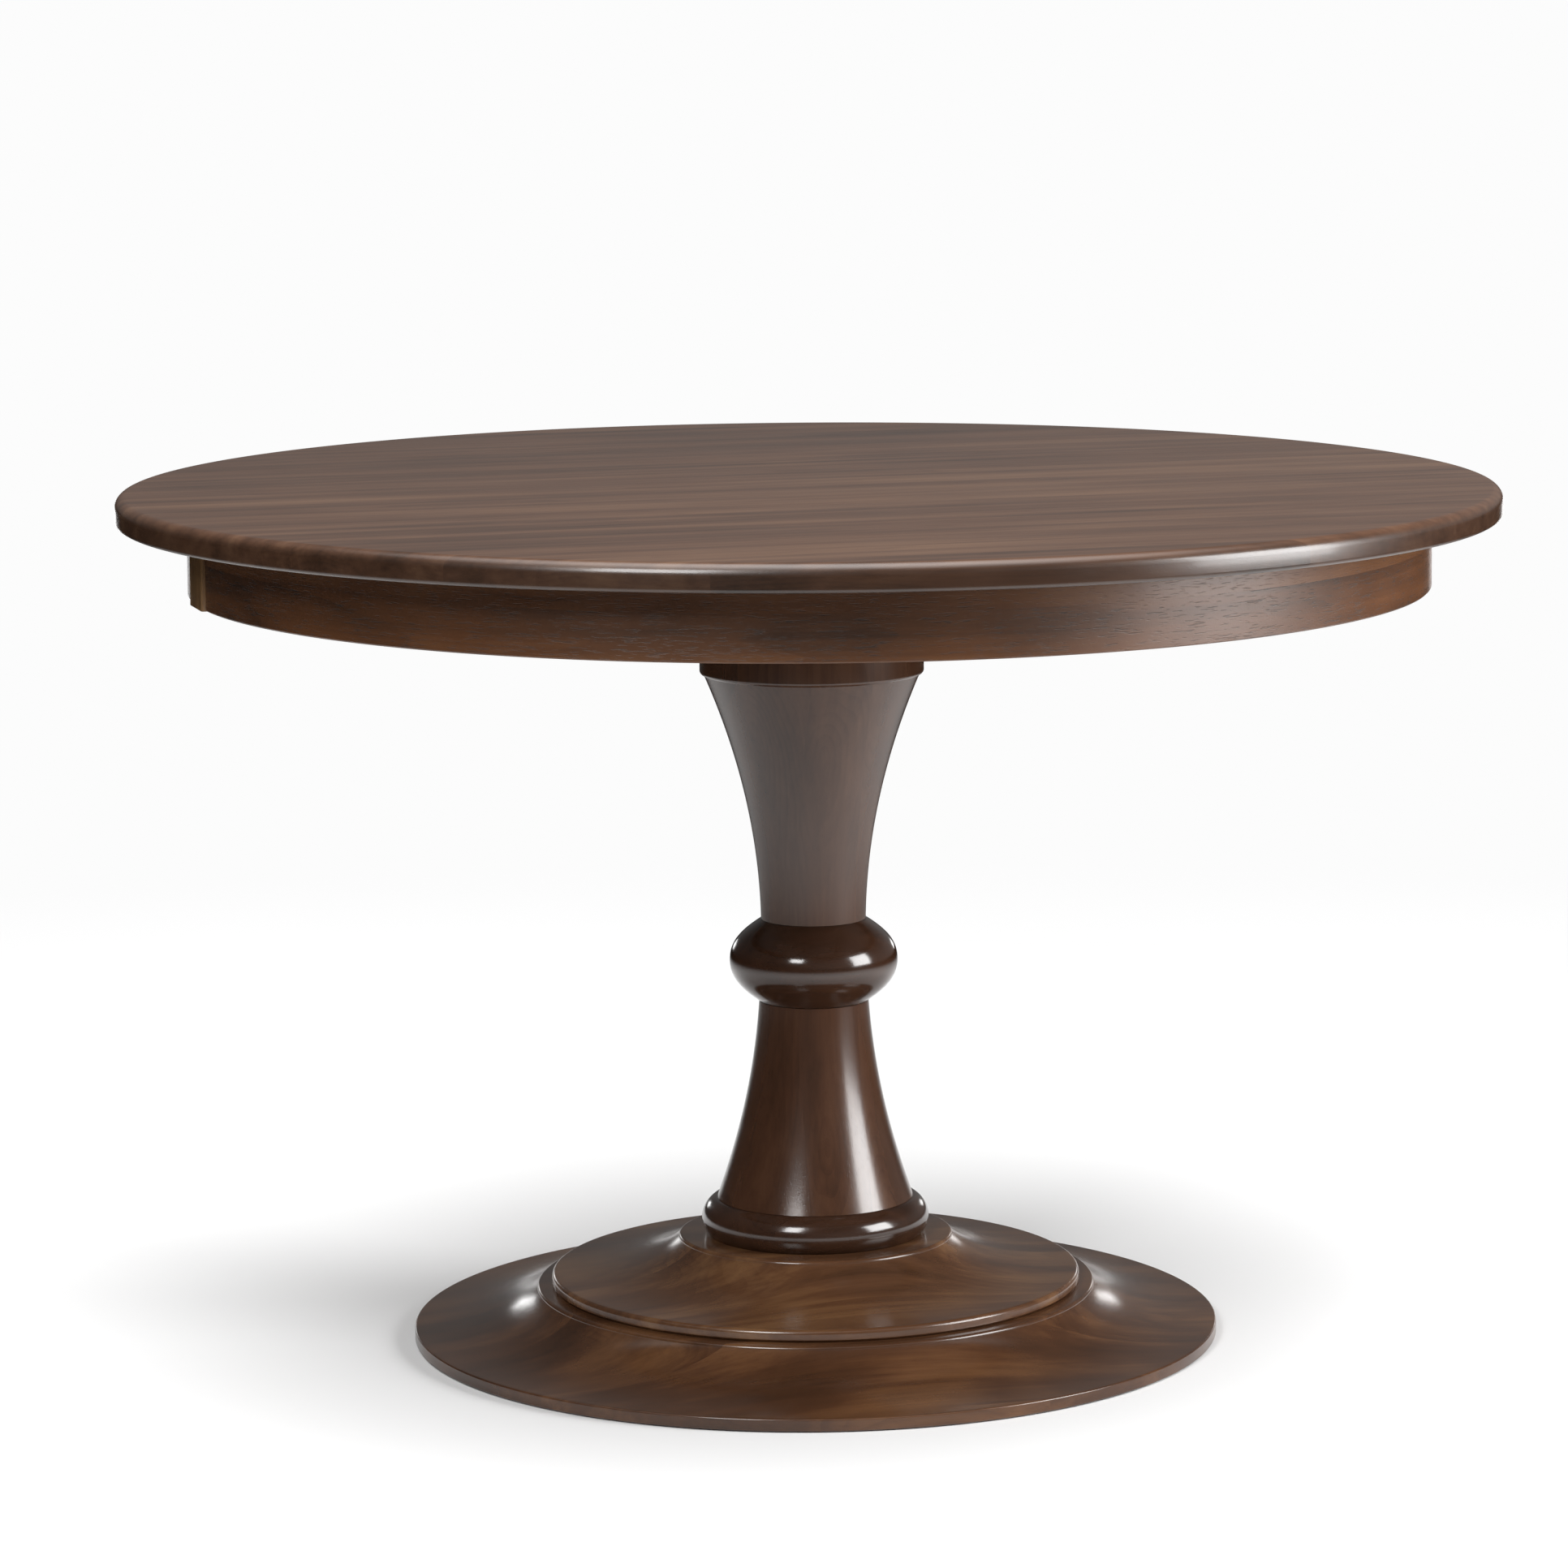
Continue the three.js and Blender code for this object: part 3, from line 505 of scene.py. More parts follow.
def frame_wood(name, grain, tones):
    finish, tree, shader = new_finish(name)
    metric = in_millimetres(tree)
    squeeze = [1 / (FIBRE_LENGTH if axis == grain else FIBRE_WIDTH) for axis in "XYZ"]
    fibres, bands = (
        noise(tree, vectors(tree, "MULTIPLY", metric, tuple(v / size for v in squeeze)), 1.0, 3.0)
        for size in (1, BAND_SIZE))
    blend = maths(tree, "MULTIPLY_ADD", fibres, FIBRE_WEIGHT, bands)
    surface(
        tree, shader, toned(tree, blend, FRAME_STOPS, tones),
        ranged(tree, fibres, 0.0, 1.0, *FRAME_ROUGHNESS), bump(tree, fibres, FIBRE_STRENGTH, FIBRE_DEPTH))
    return finish


# Metal and nylon fittings. Zinc plated steel is grey with cloudy spangle, drawn brass is yellow with fine
# lines and a brown bloom in places, and moulded nylon is dark with a fine stipple. grain and relief are in
# millimetres, and the bloom is 14 times as large as the grain.
BLOOM_SIZE = 14
GRAIN_WEIGHT = 0.3
FITTING_STOPS = (0.45, 0.75)
BLOOM_DULLER = 0.14
BLOOM_BRIGHTER = 0.1
GRAIN_STRENGTH = 0.4


def fitting(name, tones, metallic, rough, grain, relief):
    finish, tree, shader = new_finish(name)
    metric = in_millimetres(tree)
    fine = noise(tree, metric, 1 / grain, 2.0)
    bloom = noise(tree, metric, 1 / (grain * BLOOM_SIZE), 3.0)
    mixed = maths(tree, "MULTIPLY_ADD", fine, GRAIN_WEIGHT, bloom)
    gloss = ranged(tree, bloom, 0.0, 1.0, rough + BLOOM_DULLER, rough - BLOOM_BRIGHTER)
    surface(
        tree, shader, toned(tree, mixed, FITTING_STOPS, tones), gloss,
        bump(tree, fine, GRAIN_STRENGTH, relief))
    shader.inputs["Metallic"].default_value = metallic
    return finish


BROWN_LIGHT = ("39261a", "573c2c", "6d503c")
BROWN = ("25170e", "41291b", "543928")
BROWN_WARM = ("2c1a0e", "54331b", "6b4729")
BROWN_BASE = ("1f140d", "452c1c", "6c4a2f")
BROWN_UPPER = ("2a1b11", "533724", "7d5b3c")
BROWN_END = ("42301f", "765839", "8d6e4b")
BROWN_DEEP = ("1d120c", "372318", "4a3223")
# Painted shade: the top's edge and underside are drawn at 0.44 of its upper face's brightness
top_wood = walnut(
    "walnut_boards_stained_lacquered", "across", 128, 43, BROWN_LIGHT, 3.0,
    ring=0.1, streak=0.65, blotch=0.4, rough=0.31, coat=0.25, pore=0.2, side_shade=0.56)
apron_wood = walnut(
    "walnut_bent_stained_lacquered", "bent", 240, 5, BROWN_WARM, 11.0,
    ring=0.15, streak=0.45, blotch=0.6, rough=0.41, coat=0.08)
base_wood = walnut(
    "walnut_base_boards_stained_lacquered", "across", 142, 60, BROWN_BASE, 23.0,
    ring=0.06, streak=0.28, blotch=0.85, rough=0.18, coat=0.08, pore=0.15)
upper_wood = walnut(
    "walnut_upper_disc_stained_lacquered", "across", 142, 20, BROWN_UPPER, 29.0,
    ring=0.08, streak=0.36, blotch=0.7, rough=0.2, coat=0.08, pore=0.15)
column_wood = walnut(
    "walnut_turned_stained_lacquered", "upright", 56, 28, BROWN, 37.0,
    ring=0.1, streak=0.4, blotch=0.4, rough=0.2, coat=0.12, pore=0.2)
ring_wood = walnut(
    "walnut_turned_rings_stained_lacquered", "across", 160, 80, BROWN_DEEP, 41.0,
    ring=0.1, streak=0.3, blotch=0.4, rough=0.15, pore=0.1)
block_wood = walnut(
    "walnut_joint_block_stained_lacquered", "upright", 160, 80, BROWN_END, 53.0,
    ring=0.1, streak=0.4, blotch=0.4, rough=0.33)
frame_long = frame_wood("poplar_planed_thin_stain_y", "Y", ("2f2118", "4a3628", "644b38"))
frame_wide = frame_wood("poplar_planed_thin_stain_x", "X", ("2c1f17", "453225", "5e4634"))
zinc = fitting("steel_zinc_plated", ("6f7173", "b2b3b1"), 1.0, 0.36, 0.9, 0.02)
brass = fitting("brass_drawn_bloomed", ("8f6f3e", "bd9a5d"), 1.0, 0.3, 0.7, 0.015)
nylon = fitting("nylon_moulded_dark", ("1d1a18", "2f2b28"), 0.0, 0.5, 0.8, 0.05)


# ---------- Making pieces ----------

def put(name, data):
    """A new object in the scene."""
    made = bpy.data.objects.new(name, data)
    bpy.context.scene.collection.objects.link(made)
    return made


def finished(name, mesh, body, finish, replaced):
    """A mesh in place becomes a piece: its object, finish, body and the CAD nodes it stands for."""
    piece = put(name, mesh)
    if finish is not None:
        mesh.materials.clear()
        mesh.materials.append(finish)
    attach(piece, body)
    if replaced:
        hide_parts(*replaced)


def sharpen(mesh):
    """Smooth faces, with sharp edges where the surface turns."""
    work = bmesh.new()
    work.from_mesh(mesh)
    for face in work.faces:
        face.smooth = True
    for edge in work.edges:
        edge.smooth = len(edge.link_faces) == 2 and edge.calc_face_angle(0) < SHARP_ANGLE
    work.to_mesh(mesh)
    work.free()


def settled(name, work):
    """The mesh that a bmesh holds, with its sharp edges marked."""
    mesh = bpy.data.meshes.new(name)
    work.to_mesh(mesh)
    work.free()
    sharpen(mesh)
    return mesh


def plain_mesh(holder):
    """What an object's modifiers make of its mesh. The object itself goes."""
    mesh = bpy.data.meshes.new_from_object(holder.evaluated_get(bpy.context.evaluated_depsgraph_get()))
    bpy.data.objects.remove(holder)
    return mesh


def group_tree(name, sockets):
    """A Geometry Nodes tree with named inputs: {name: (socket type, default)}."""
    tree = bpy.data.node_groups.new(name, "GeometryNodeTree")
    for way in ("OUTPUT", "INPUT"):
        tree.interface.new_socket("Geometry", in_out=way, socket_type="NodeSocketGeometry")
    for label, (kind, default) in sockets.items():
        socket = tree.interface.new_socket(label, in_out="INPUT", socket_type=kind)
        if default is not None:
            socket.default_value = default
    return tree, add(tree, "NodeGroupInput").outputs


def ended(tree, geometry, finish):
    """The end of each tree: real meshes that carry the finish."""
    real = add(tree, "GeometryNodeRealizeInstances", {"Geometry": geometry}).outputs[0]
    faced = add(tree, "GeometryNodeSetMaterial", {"Geometry": real, "Material": finish}).outputs[0]
    add(tree, "NodeGroupOutput", {0: faced})
    return tree


def grown(name, start, tree, values):
    """The plain mesh that a tree makes of a starting mesh, with its named inputs set."""
    holder = put(name, start)
    maker = holder.modifiers.new("maker", "NODES")
    maker.node_group = tree
    sockets = {s.name: s.identifier for s in tree.interface.items_tree if s.in_out == "INPUT"}
    for label, value in values.items():
        maker[sockets[label]] = value
    mesh = plain_mesh(holder)
    mesh.name = name
    return mesh


def lathe_tree():
    """Turns an outline: its points are swept round the Z axis, and the seam and the poles are closed."""
    tree, given = group_tree("lathe", {
        "Sides": ("NodeSocketInt", COLUMN_SIDES),
        "Seam": ("NodeSocketFloat", SEAM_DISTANCE * MM),
        "Finish": ("NodeSocketMaterial", None),
    })
    count = add(tree, "GeometryNodeAttributeDomainSize", {0: given["Geometry"]}).outputs["Point Count"]
    around = maths(tree, "ADD", given["Sides"], 1.0)
    sheet = add(tree, "GeometryNodeMeshGrid", {"Vertices X": count, "Vertices Y": around}).outputs["Mesh"]
    index = add(tree, "GeometryNodeInputIndex").outputs[0]
    row = maths(tree, "FLOOR", maths(tree, "DIVIDE", index, around))
    column = maths(tree, "MODULO", index, around)
    place = add(tree, "GeometryNodeInputPosition").outputs[0]
    point = add(
        tree, "GeometryNodeSampleIndex", {"Geometry": given["Geometry"], "Value": place, "Index": row},
        data_type="FLOAT_VECTOR", domain="POINT").outputs["Value"]
    angle = maths(tree, "MULTIPLY", maths(tree, "DIVIDE", column, given["Sides"]), -TURN)
    spot = add(
        tree, "ShaderNodeVectorRotate", {"Vector": point, "Angle": angle}, rotation_type="Z_AXIS").outputs[0]
    swept = add(tree, "GeometryNodeSetPosition", {"Geometry": sheet, "Position": spot}).outputs[0]
    whole = add(tree, "GeometryNodeMergeByDistance", {"Geometry": swept, "Distance": given["Seam"]}).outputs[0]
    return ended(tree, whole, given["Finish"])


LATHE = lathe_tree()


def turned(name, outline, sides, finish):
    """A mesh turned from an outline in radius and height, in millimetres."""
    profile = bpy.data.meshes.new(name + "_outline")
    profile.from_pydata([(r * MM, 0, z * MM) for r, z in outline], [], [])
    mesh = grown(name, profile, LATHE, {"Sides": sides, "Finish": finish})
    sharpen(mesh)
    return mesh


def carved(mesh, tools):
    """Takes the shapes held in a bmesh out of a mesh."""
    tool_mesh = bpy.data.meshes.new("tools")
    tools.to_mesh(tool_mesh)
    tools.free()
    blank, taken = put("blank", mesh), put("taken", tool_mesh)
    cutter = blank.modifiers.new("carve", "BOOLEAN")
    cutter.object = taken
    cutter.operation = "DIFFERENCE"
    cutter.solver = "EXACT"
    cut = plain_mesh(blank)
    cut.name = mesh.name
    bpy.data.objects.remove(taken)
    sharpen(cut)
    return cut


def drilled(mesh, holes):
    """Cuts upright round holes, each (x, y, radius, bottom, top) in millimetres, out of a mesh."""
    tools = bmesh.new()
    for x, y, radius, low, high in holes:
        bmesh.ops.create_cone(
            tools, cap_ends=True, segments=FITTING_SIDES, radius1=radius * MM, radius2=radius * MM,
            depth=(high - low) * MM, matrix=Matrix.Translation(Vector((x, y, (low + high) / 2)) * MM))
    return carved(mesh, tools)


def eased(name, node, width):
    """A copy of a CAD solid with its facets joined and its sharp edges rounded over."""
    work = bmesh.new()
    work.from_mesh(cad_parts[node].data)
    bmesh.ops.remove_doubles(work, verts=work.verts, dist=JOIN_DISTANCE * MM)
    bmesh.ops.dissolve_limit(work, angle_limit=FLAT_ANGLE, verts=work.verts, edges=work.edges)
    sharp = [e for e in work.edges if len(e.link_faces) == 2 and e.calc_face_angle(0) > SHARP_ANGLE]
    bmesh.ops.bevel(
        work, geom=sharp, offset=width * MM, segments=EASE_STEPS, profile=ROUND_PROFILE, affect="EDGES",
        clamp_overlap=True)
    return settled(name, work)


def laid(mesh, axis, turn, x=0, y=0, z=0):
    """Turns a mesh about an axis and sets it in its place, in millimetres."""
    mesh.transform(Matrix.Translation(Vector((x, y, z)) * MM) @ Matrix.Rotation(turn, 4, axis))
    return mesh


def screw_tree():
    """Slotted round heads on the points of a mesh, each facing as its point says and turned by chance."""
    tree, given = group_tree("slotted_screws", {
        "Head Radius": ("NodeSocketFloat", GLUE_SCREW_RADIUS * MM),
        "Head Height": ("NodeSocketFloat", GLUE_SCREW_RADIUS * SCREW_HEIGHT_SHARE * MM),
        "Slot Width": ("NodeSocketFloat", GLUE_SCREW_RADIUS * SLOT_WIDTH_SHARE * MM),
        "Seed": ("NodeSocketInt", GLUE_SEED),
        "Finish": ("NodeSocketMaterial", None),
    })
    radius, tall = given["Head Radius"], given["Head Height"]
    blank = add(tree, "GeometryNodeMeshCylinder", {
        "Vertices": SCREW_SIDES, "Side Segments": SCREW_STEPS, "Radius": radius, "Depth": tall}).outputs["Mesh"]

    # The upper rings are pulled in to a dome: the height from 0 to 1, squared and taken from a circle
    spot = add(tree, "GeometryNodeInputPosition").outputs[0]
    raised = maths(tree, "ADD", maths(tree, "DIVIDE", parted(tree, spot)["Z"], tall), 0.5)
    squared = maths(tree, "POWER", maths(tree, "MULTIPLY", raised, SCREW_DOME_SHARE), 2.0)
    pulled = maths(tree, "SQRT", maths(tree, "SUBTRACT", 1.0, squared))
    slim = vectors(tree, "MULTIPLY", spot, joined(tree, pulled, pulled, 1.0))
    domed = add(tree, "GeometryNodeSetPosition", {"Geometry": blank, "Position": slim}).outputs[0]

    long_slot = maths(tree, "MULTIPLY", radius, SLOT_LENGTH_SHARE)
    slot_size = joined(tree, long_slot, given["Slot Width"], tall)
    lift = joined(tree, 0.0, 0.0, maths(tree, "MULTIPLY", tall, SLOT_LIFT_SHARE))
    slot = add(tree, "GeometryNodeTransform", {
        "Geometry": add(tree, "GeometryNodeMeshCube", {"Size": slot_size}).outputs["Mesh"],
        "Translation": lift}).outputs[0]
    head = add(
        tree, "GeometryNodeMeshBoolean", {"Mesh 1": domed, "Mesh 2": slot},
        operation="DIFFERENCE", solver="EXACT").outputs["Mesh"]

    facing = add(tree, "GeometryNodeInputNamedAttribute", {"Name": "facing"}, data_type="FLOAT_VECTOR")
    stood = add(
        tree, "FunctionNodeAlignRotationToVector", {"Vector": facing.outputs["Attribute"]}, axis="Z").outputs[0]
    chance = add(tree, "FunctionNodeRandomValue", {2: 0.0, 3: TURN, "Seed": given["Seed"]}, data_type="FLOAT")
    spin = add(tree, "FunctionNodeEulerToRotation", {0: joined(tree, 0.0, 0.0, chance.outputs[1])}).outputs[0]
    turn = add(
        tree, "FunctionNodeRotateRotation", {"Rotation": stood, "Rotate By": spin},
        rotation_space="LOCAL").outputs[0]
    points = add(tree, "GeometryNodeMeshToPoints", {"Mesh": given["Geometry"]}).outputs[0]
    placed = add(
        tree, "GeometryNodeInstanceOnPoints", {"Points": points, "Instance": head, "Rotation": turn}).outputs[0]
    return ended(tree, placed, given["Finish"])


SCREWS = screw_tree()


def screws(name, places, radius, seed, finish, body):
    """Small screws, each given as a place in millimetres and the way that its head faces."""
    height = radius * SCREW_HEIGHT_SHARE
    points = bpy.data.meshes.new(name + "_points")
    seated = [Vector(place) + Vector(facing) * (height / 2 - SCREW_BITE) for place, facing in places]
    points.from_pydata([tuple(v * MM) for v in seated], [], [])
    facings = points.attributes.new("facing", "FLOAT_VECTOR", "POINT")
    for i, (_, facing) in enumerate(places):
        facings.data[i].vector = facing
    mesh = grown(name, points, SCREWS, {
        "Head Radius": radius * MM, "Head Height": height * MM,
        "Slot Width": radius * SLOT_WIDTH_SHARE * MM, "Seed": seed, "Finish": finish,
    })
    sharpen(mesh)
    finished(name, mesh, body, None, [])


# ---------- The pieces ----------

# The round top
finished(
    "round_top", turned("round_top", top_outline(), TOP_SIDES, top_wood),
    "top", None, ["tabletop"])


# Apron halves: bent arches with flat ends, their two lower arrises just broken
def arch(name, node, side):
    low, high = box_mm(node)
    bottom, top, outer = span(node)
    inner = outer - APRON_THICKNESS
    end = min(abs(low[1]), abs(high[1]))
    section = [
        (inner, top), (inner, bottom + APRON_ARRIS), (inner + APRON_ARRIS, bottom),
        (outer - APRON_ARRIS, bottom), (outer, bottom + APRON_ARRIS), (outer, top),
    ]
    work = bmesh.new()
    rows = []
    for i in range(APRON_STEPS + 1):
        row = []
        for radius, height in section:
            first = math.asin(end / radius)
            angle = first + (math.pi - 2 * first) * i / APRON_STEPS
            spot = Vector((radius * math.cos(angle), side * radius * math.sin(angle), height)) * MM
            row.append(work.verts.new(spot))
        rows.append(row)
    count = len(section)
    for a, b in zip(rows, rows[1:]):
        for i in range(count):
            work.faces.new((a[i], a[(i + 1) % count], b[(i + 1) % count], b[i]))
    work.faces.new(rows[0])
    work.faces.new(list(reversed(rows[-1])))
    bmesh.ops.recalc_face_normals(work, faces=work.faces)
    return settled(name, work)


for where, side in (("front", -1), ("rear", 1)):
    finished(
        f"bent_apron_{where}", arch(f"bent_apron_{where}", f"apron_{where}", side),
        "top", apron_wood, [f"apron_{where}"])


# Base and column
def glide_and_screw_holes():
    """The pockets in the underside of the lower tier, where the glides and the screws are."""
    holes = []
    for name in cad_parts:
        if name.startswith(("glide_", "tier_screw_")):
            low, high = box_mm(name)
            x, y, _ = centre_mm(name)
            radius = (high[0] - low[0]) / 2 + SEAT_GAP
            glide = name.startswith("glide_")
            top = GLIDE_POCKET_DEPTH + SEAT_GAP if glide else low[2] + SCREW_HEAD_DEPTH
            holes.append((x, y, radius, DRILL_START, top))
    return holes


lower = turned(
    "base_disc_lower",
    tier_outline("base_lower_tier", LOWER_EDGE, LOWER_EDGE_ROUND, LOWER_SEAT_RADIUS, NUT_POCKET_RADIUS),
    TIER_SIDES, base_wood)
finished(
    "base_disc_lower", drilled(lower, glide_and_screw_holes()),
    "pedestal", base_wood, ["base_lower_tier"])
upper = turned(
    "base_disc_upper",
    tier_outline("base_upper_tier", UPPER_EDGE, UPPER_EDGE_ROUND, UPPER_SEAT_RADIUS, ROD_BORE),
    TIER_SIDES, upper_wood)
finished("base_disc_upper", upper, "pedestal", None, ["base_upper_tier"])
for name, outline, finish, node in (
    ("turned_collar", collar_outline(), ring_wood, "base_collar"),
    ("turned_shaft", shaft_outline(), column_wood, "column_shaft"),
    ("turned_knob", knob_outline(), ring_wood, "column_knob"),
    ("turned_vase", vase_outline(), column_wood, "column_vase"),
):
    finished(
        name, turned(name, outline, COLUMN_SIDES, finish), "pedestal", None, [node])

# Sawn pieces and plates: their arrises are taken off, as a plane, a router or a file leaves them
for start, body, finish, slot, width in (
    ("apron_joint_block", "top", block_wood, "walnut_apron", WOOD_EASE),
    ("bearer_left", "top", frame_long, "stained_frame", FRAME_EASE),
    ("bearer_right", "top", frame_long, "stained_frame", FRAME_EASE),
    ("glue_block", "top", frame_wide, "stained_frame", WOOD_EASE),
    ("tilt_block", "pedestal", frame_wide, "stained_frame", FRAME_EASE),
    ("catch_plate", "top", brass, "brass", PLATE_EASE),
    ("catch_guide", "top", brass, "brass", PLATE_EASE),
    ("keeper_plate", "pedestal", brass, "brass", PLATE_EASE),
    ("tie_rod_nut", "pedestal", zinc, "zinc_steel", NUT_EASE),
    ("tie_rod_washer", "pedestal", zinc, "zinc_steel", PLATE_EASE),
):
    for node in [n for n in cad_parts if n.startswith(start)]:
        finished(f"eased_{node}", eased(f"eased_{node}", node, width), body, finish, [node])


# Pivot pins with a slotted head, and the bushes that they turn in
def pin_outline(first, last):
    shoulder = BLOCK_REACH + SEAT_GAP
    head = last - PIN_HEAD_THICKNESS
    return [
        (0, first), (PIN_THREAD_RADIUS, first), (PIN_THREAD_RADIUS, shoulder), (PIN_RADIUS, shoulder),
        (PIN_RADIUS, head), (PIN_HEAD_RADIUS - PLATE_EASE, head), (PIN_HEAD_RADIUS, head + PLATE_EASE),
        *arc(PIN_HEAD_RADIUS - PIN_HEAD_ROUND, last - PIN_HEAD_ROUND, PIN_HEAD_ROUND, 0, QUARTER), (0, last),
    ]


def bush_outline(first, last, reach):
    flange = last - BUSH_FLANGE
    return closed([
        (BUSH_BORE, first), (BUSH_RADIUS, first), (BUSH_RADIUS, flange), (reach, flange),
        *arc(reach - BUSH_ROUND, last - BUSH_ROUND, BUSH_ROUND, 0, QUARTER),
        (BUSH_BORE + BUSH_ROUND, last), (BUSH_BORE, last - BUSH_ROUND),
    ])


for where, side in (("left", -1), ("right", 1)):
    low, high = box_mm(f"pivot_pin_{where}")
    first, last = sorted((abs(low[0]), abs(high[0])))
    _, pivot_y, pivot_z = centre_mm(f"pivot_pin_{where}")
    slot_box = Vector((PIN_HEAD_RADIUS * SLOT_LENGTH_SHARE, PIN_SLOT_WIDTH, PIN_SLOT_DEPTH * 2)) * MM
    tools = bmesh.new()
    bmesh.ops.create_cube(tools, size=1, matrix=(
        Matrix.Translation(Vector((0, 0, last)) * MM) @ Matrix.Diagonal(slot_box).to_4x4()))
    pin = carved(turned(f"pin_{where}", pin_outline(first, last), FITTING_SIDES, zinc), tools)
    finished(
        f"slotted_pin_{where}", laid(pin, "Y", side * QUARTER, 0, pivot_y, pivot_z),
        "pedestal", zinc, [f"pivot_pin_{where}"])
    low, high = box_mm(f"pivot_bush_{where}")
    first, last = sorted((abs(low[0]), abs(high[0])))
    bush = turned(f"bush_{where}", bush_outline(first, last, (high[1] - low[1]) / 2), FITTING_SIDES, brass)
    finished(
        f"flanged_bush_{where}", laid(bush, "Y", side * QUARTER, 0, pivot_y, pivot_z),
        "top", None, [f"pivot_bush_{where}"])

# Barrel bolt: a drawn rod with a rounded nose, and its turned knob
low, high = box_mm("catch_rod")
rod_radius, rod_length = (high[0] - low[0]) / 2, high[1] - low[1]
axis_z = centre_mm("catch_rod")[2]
rod = turned("catch_rod_drawn", [
    (0, 0), *arc(rod_radius - ROD_NOSE, ROD_NOSE, ROD_NOSE, -QUARTER, 0),
    *arc(rod_radius - ROD_NOSE, rod_length - ROD_NOSE, ROD_NOSE, 0, QUARTER), (0, rod_length),
], FITTING_SIDES, brass)
laid(rod, "X", -QUARTER, 0, low[1], axis_z)
low, high = box_mm("catch_knob")
knob_y = centre_mm("catch_knob")[1]
stud_hole = (0, knob_y, KNOB_STUD_RADIUS + SEAT_GAP, axis_z - rod_radius * 2, axis_z)
finished("catch_rod_drawn", drilled(rod, [stud_hole]), "catch_bolt", brass, ["catch_rod"])
ball = (high[0] - low[0]) / 2
stem_top = axis_z - rod_radius - SEAT_GAP
knob = turned("catch_knob_turned", [
    *arc(0, low[2] + ball, ball, -QUARTER, math.acos(KNOB_STEM_RADIUS / ball), CURVE_STEPS),
    (KNOB_STEM_RADIUS, stem_top), (KNOB_STUD_RADIUS, stem_top), (KNOB_STUD_RADIUS, high[2]), (0, high[2]),
], FITTING_SIDES, brass)
finished("catch_knob_turned", laid(knob, "Z", 0, 0, knob_y), "catch_bolt", None, ["catch_knob"])

# Tie rod, with a thread rolled on each end
first, last, radius = span("tie_rod")
root = radius - THREAD_DEPTH
thread_end = THREAD_PITCH * (THREAD_TURNS + 1)
thread = [
    (r, first + THREAD_PITCH * (i + share))
    for i in range(THREAD_TURNS) for r, share in zip((root, radius, radius, root), THREAD_FLANKS)]
finished(
    "tie_rod_threaded",
    turned("tie_rod_threaded", [
        (0, first), *thread, (radius, first + thread_end), (radius, last - thread_end),
        *((r, first + last - z) for r, z in reversed(thread)), (0, last),
    ], FITTING_SIDES, zinc),
    "pedestal", None, ["tie_rod"])


# Small screws that hold the plates and the corner blocks
def inset(low, high, axis):
    """Two places a little in from the ends of a box along an axis."""
    return low[axis] + SCREW_INSET, high[axis] - SCREW_INSET


low, high = box_mm("catch_plate")
plate_screws = [((x, y, low[2]), (0, 0, -1)) for x in inset(low, high, 0) for y in inset(low, high, 1)]
screws("catch_plate_screws", plate_screws, PLATE_SCREW_RADIUS, PLATE_SEED, brass, "top")
guide_screws = []
for where in ("front", "rear"):
    guide_y = centre_mm(f"catch_guide_{where}")[1]
    flange = span(f"catch_guide_{where}")[1] - GUIDE_FLANGE
    guide_screws += [((side * GUIDE_SCREW_X, guide_y, flange), (0, 0, -1)) for side in (-1, 1)]
screws("catch_guide_screws", guide_screws, GUIDE_SCREW_RADIUS, GUIDE_SEED, brass, "top")
low, high = box_mm("keeper_plate")
keeper_screws = [((x, high[1], z), (0, 1, 0)) for x in inset(low, high, 0) for z in inset(low, high, 2)]
screws("keeper_screws", keeper_screws, PLATE_SCREW_RADIUS, KEEPER_SEED, brass, "pedestal")
glue_screws = []
for name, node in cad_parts.items():
    if name.startswith("glue_block"):
        corners = [v.co for v in node.data.vertices]
        middle = sum(corners, Vector()) / len(corners)
        outward = Vector((middle.x, middle.y, 0)).normalized()
        sideways = Vector((-outward.y, outward.x, 0))
        near = min(c.dot(outward) for c in corners)
        height = max(c.z for c in corners) - GLUE_SCREW_DROP * MM
        for side in (-1, 1):
            place = outward * near + sideways * side * GLUE_SCREW_REACH * MM + Vector((0, 0, height))
            glue_screws.append((tuple(place / MM), tuple(-outward)))
screws("glue_block_screws", glue_screws, GLUE_SCREW_RADIUS, GLUE_SEED, zinc, "top")

# CAD nodes that keep their shape and get their finish
for name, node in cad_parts.items():
    for start, finish in (
        ("block_screw", zinc), ("tier_screw", zinc), ("bearer_screw", zinc), ("glide", nylon),
    ):
        if name.startswith(start):
            for holder in node.material_slots:
                holder.link = "OBJECT"
                holder.material = finish


# ---------- Studio: pale floor, dim walls with a bright ceiling, and four softboxes ----------

FLOOR_REACH = 2600
FLOOR_FADE = 800
VIEW_TURN = math.radians(-17)
CAMERA_DISTANCE = 5139.7
CAMERA_HEIGHT = 1287.0
CAMERA_YAW = 0.0219
CAMERA_DIP = 0.1143
CAMERA_ROLL = -0.0043
CAMERA_LENS = 134.21
CAMERA_SENSOR = 36
CAMERA_SHIFT = (-0.0983, -0.1449)

# Brightness of the ceiling by height above the horizon, and of the walls on the left, right and behind.
# The limits say where each begins and ends, as the sine of an angle.
CEILING_GLOW = ((0.0, 0.0), (0.75, 0.015), (0.9, 0.45), (1.0, 1.0))
WALL_GLOW = (0.002, 0.03)
BACK_GLOW = 0.006
CEILING_POWER = 5.8
WALL_LIMITS = (-0.9, 0.6)
BACK_LIMITS = (0.75, 0.98)
WALL_TOP = (0.2, 0.6)
HORIZON = (-0.03, 0.03)


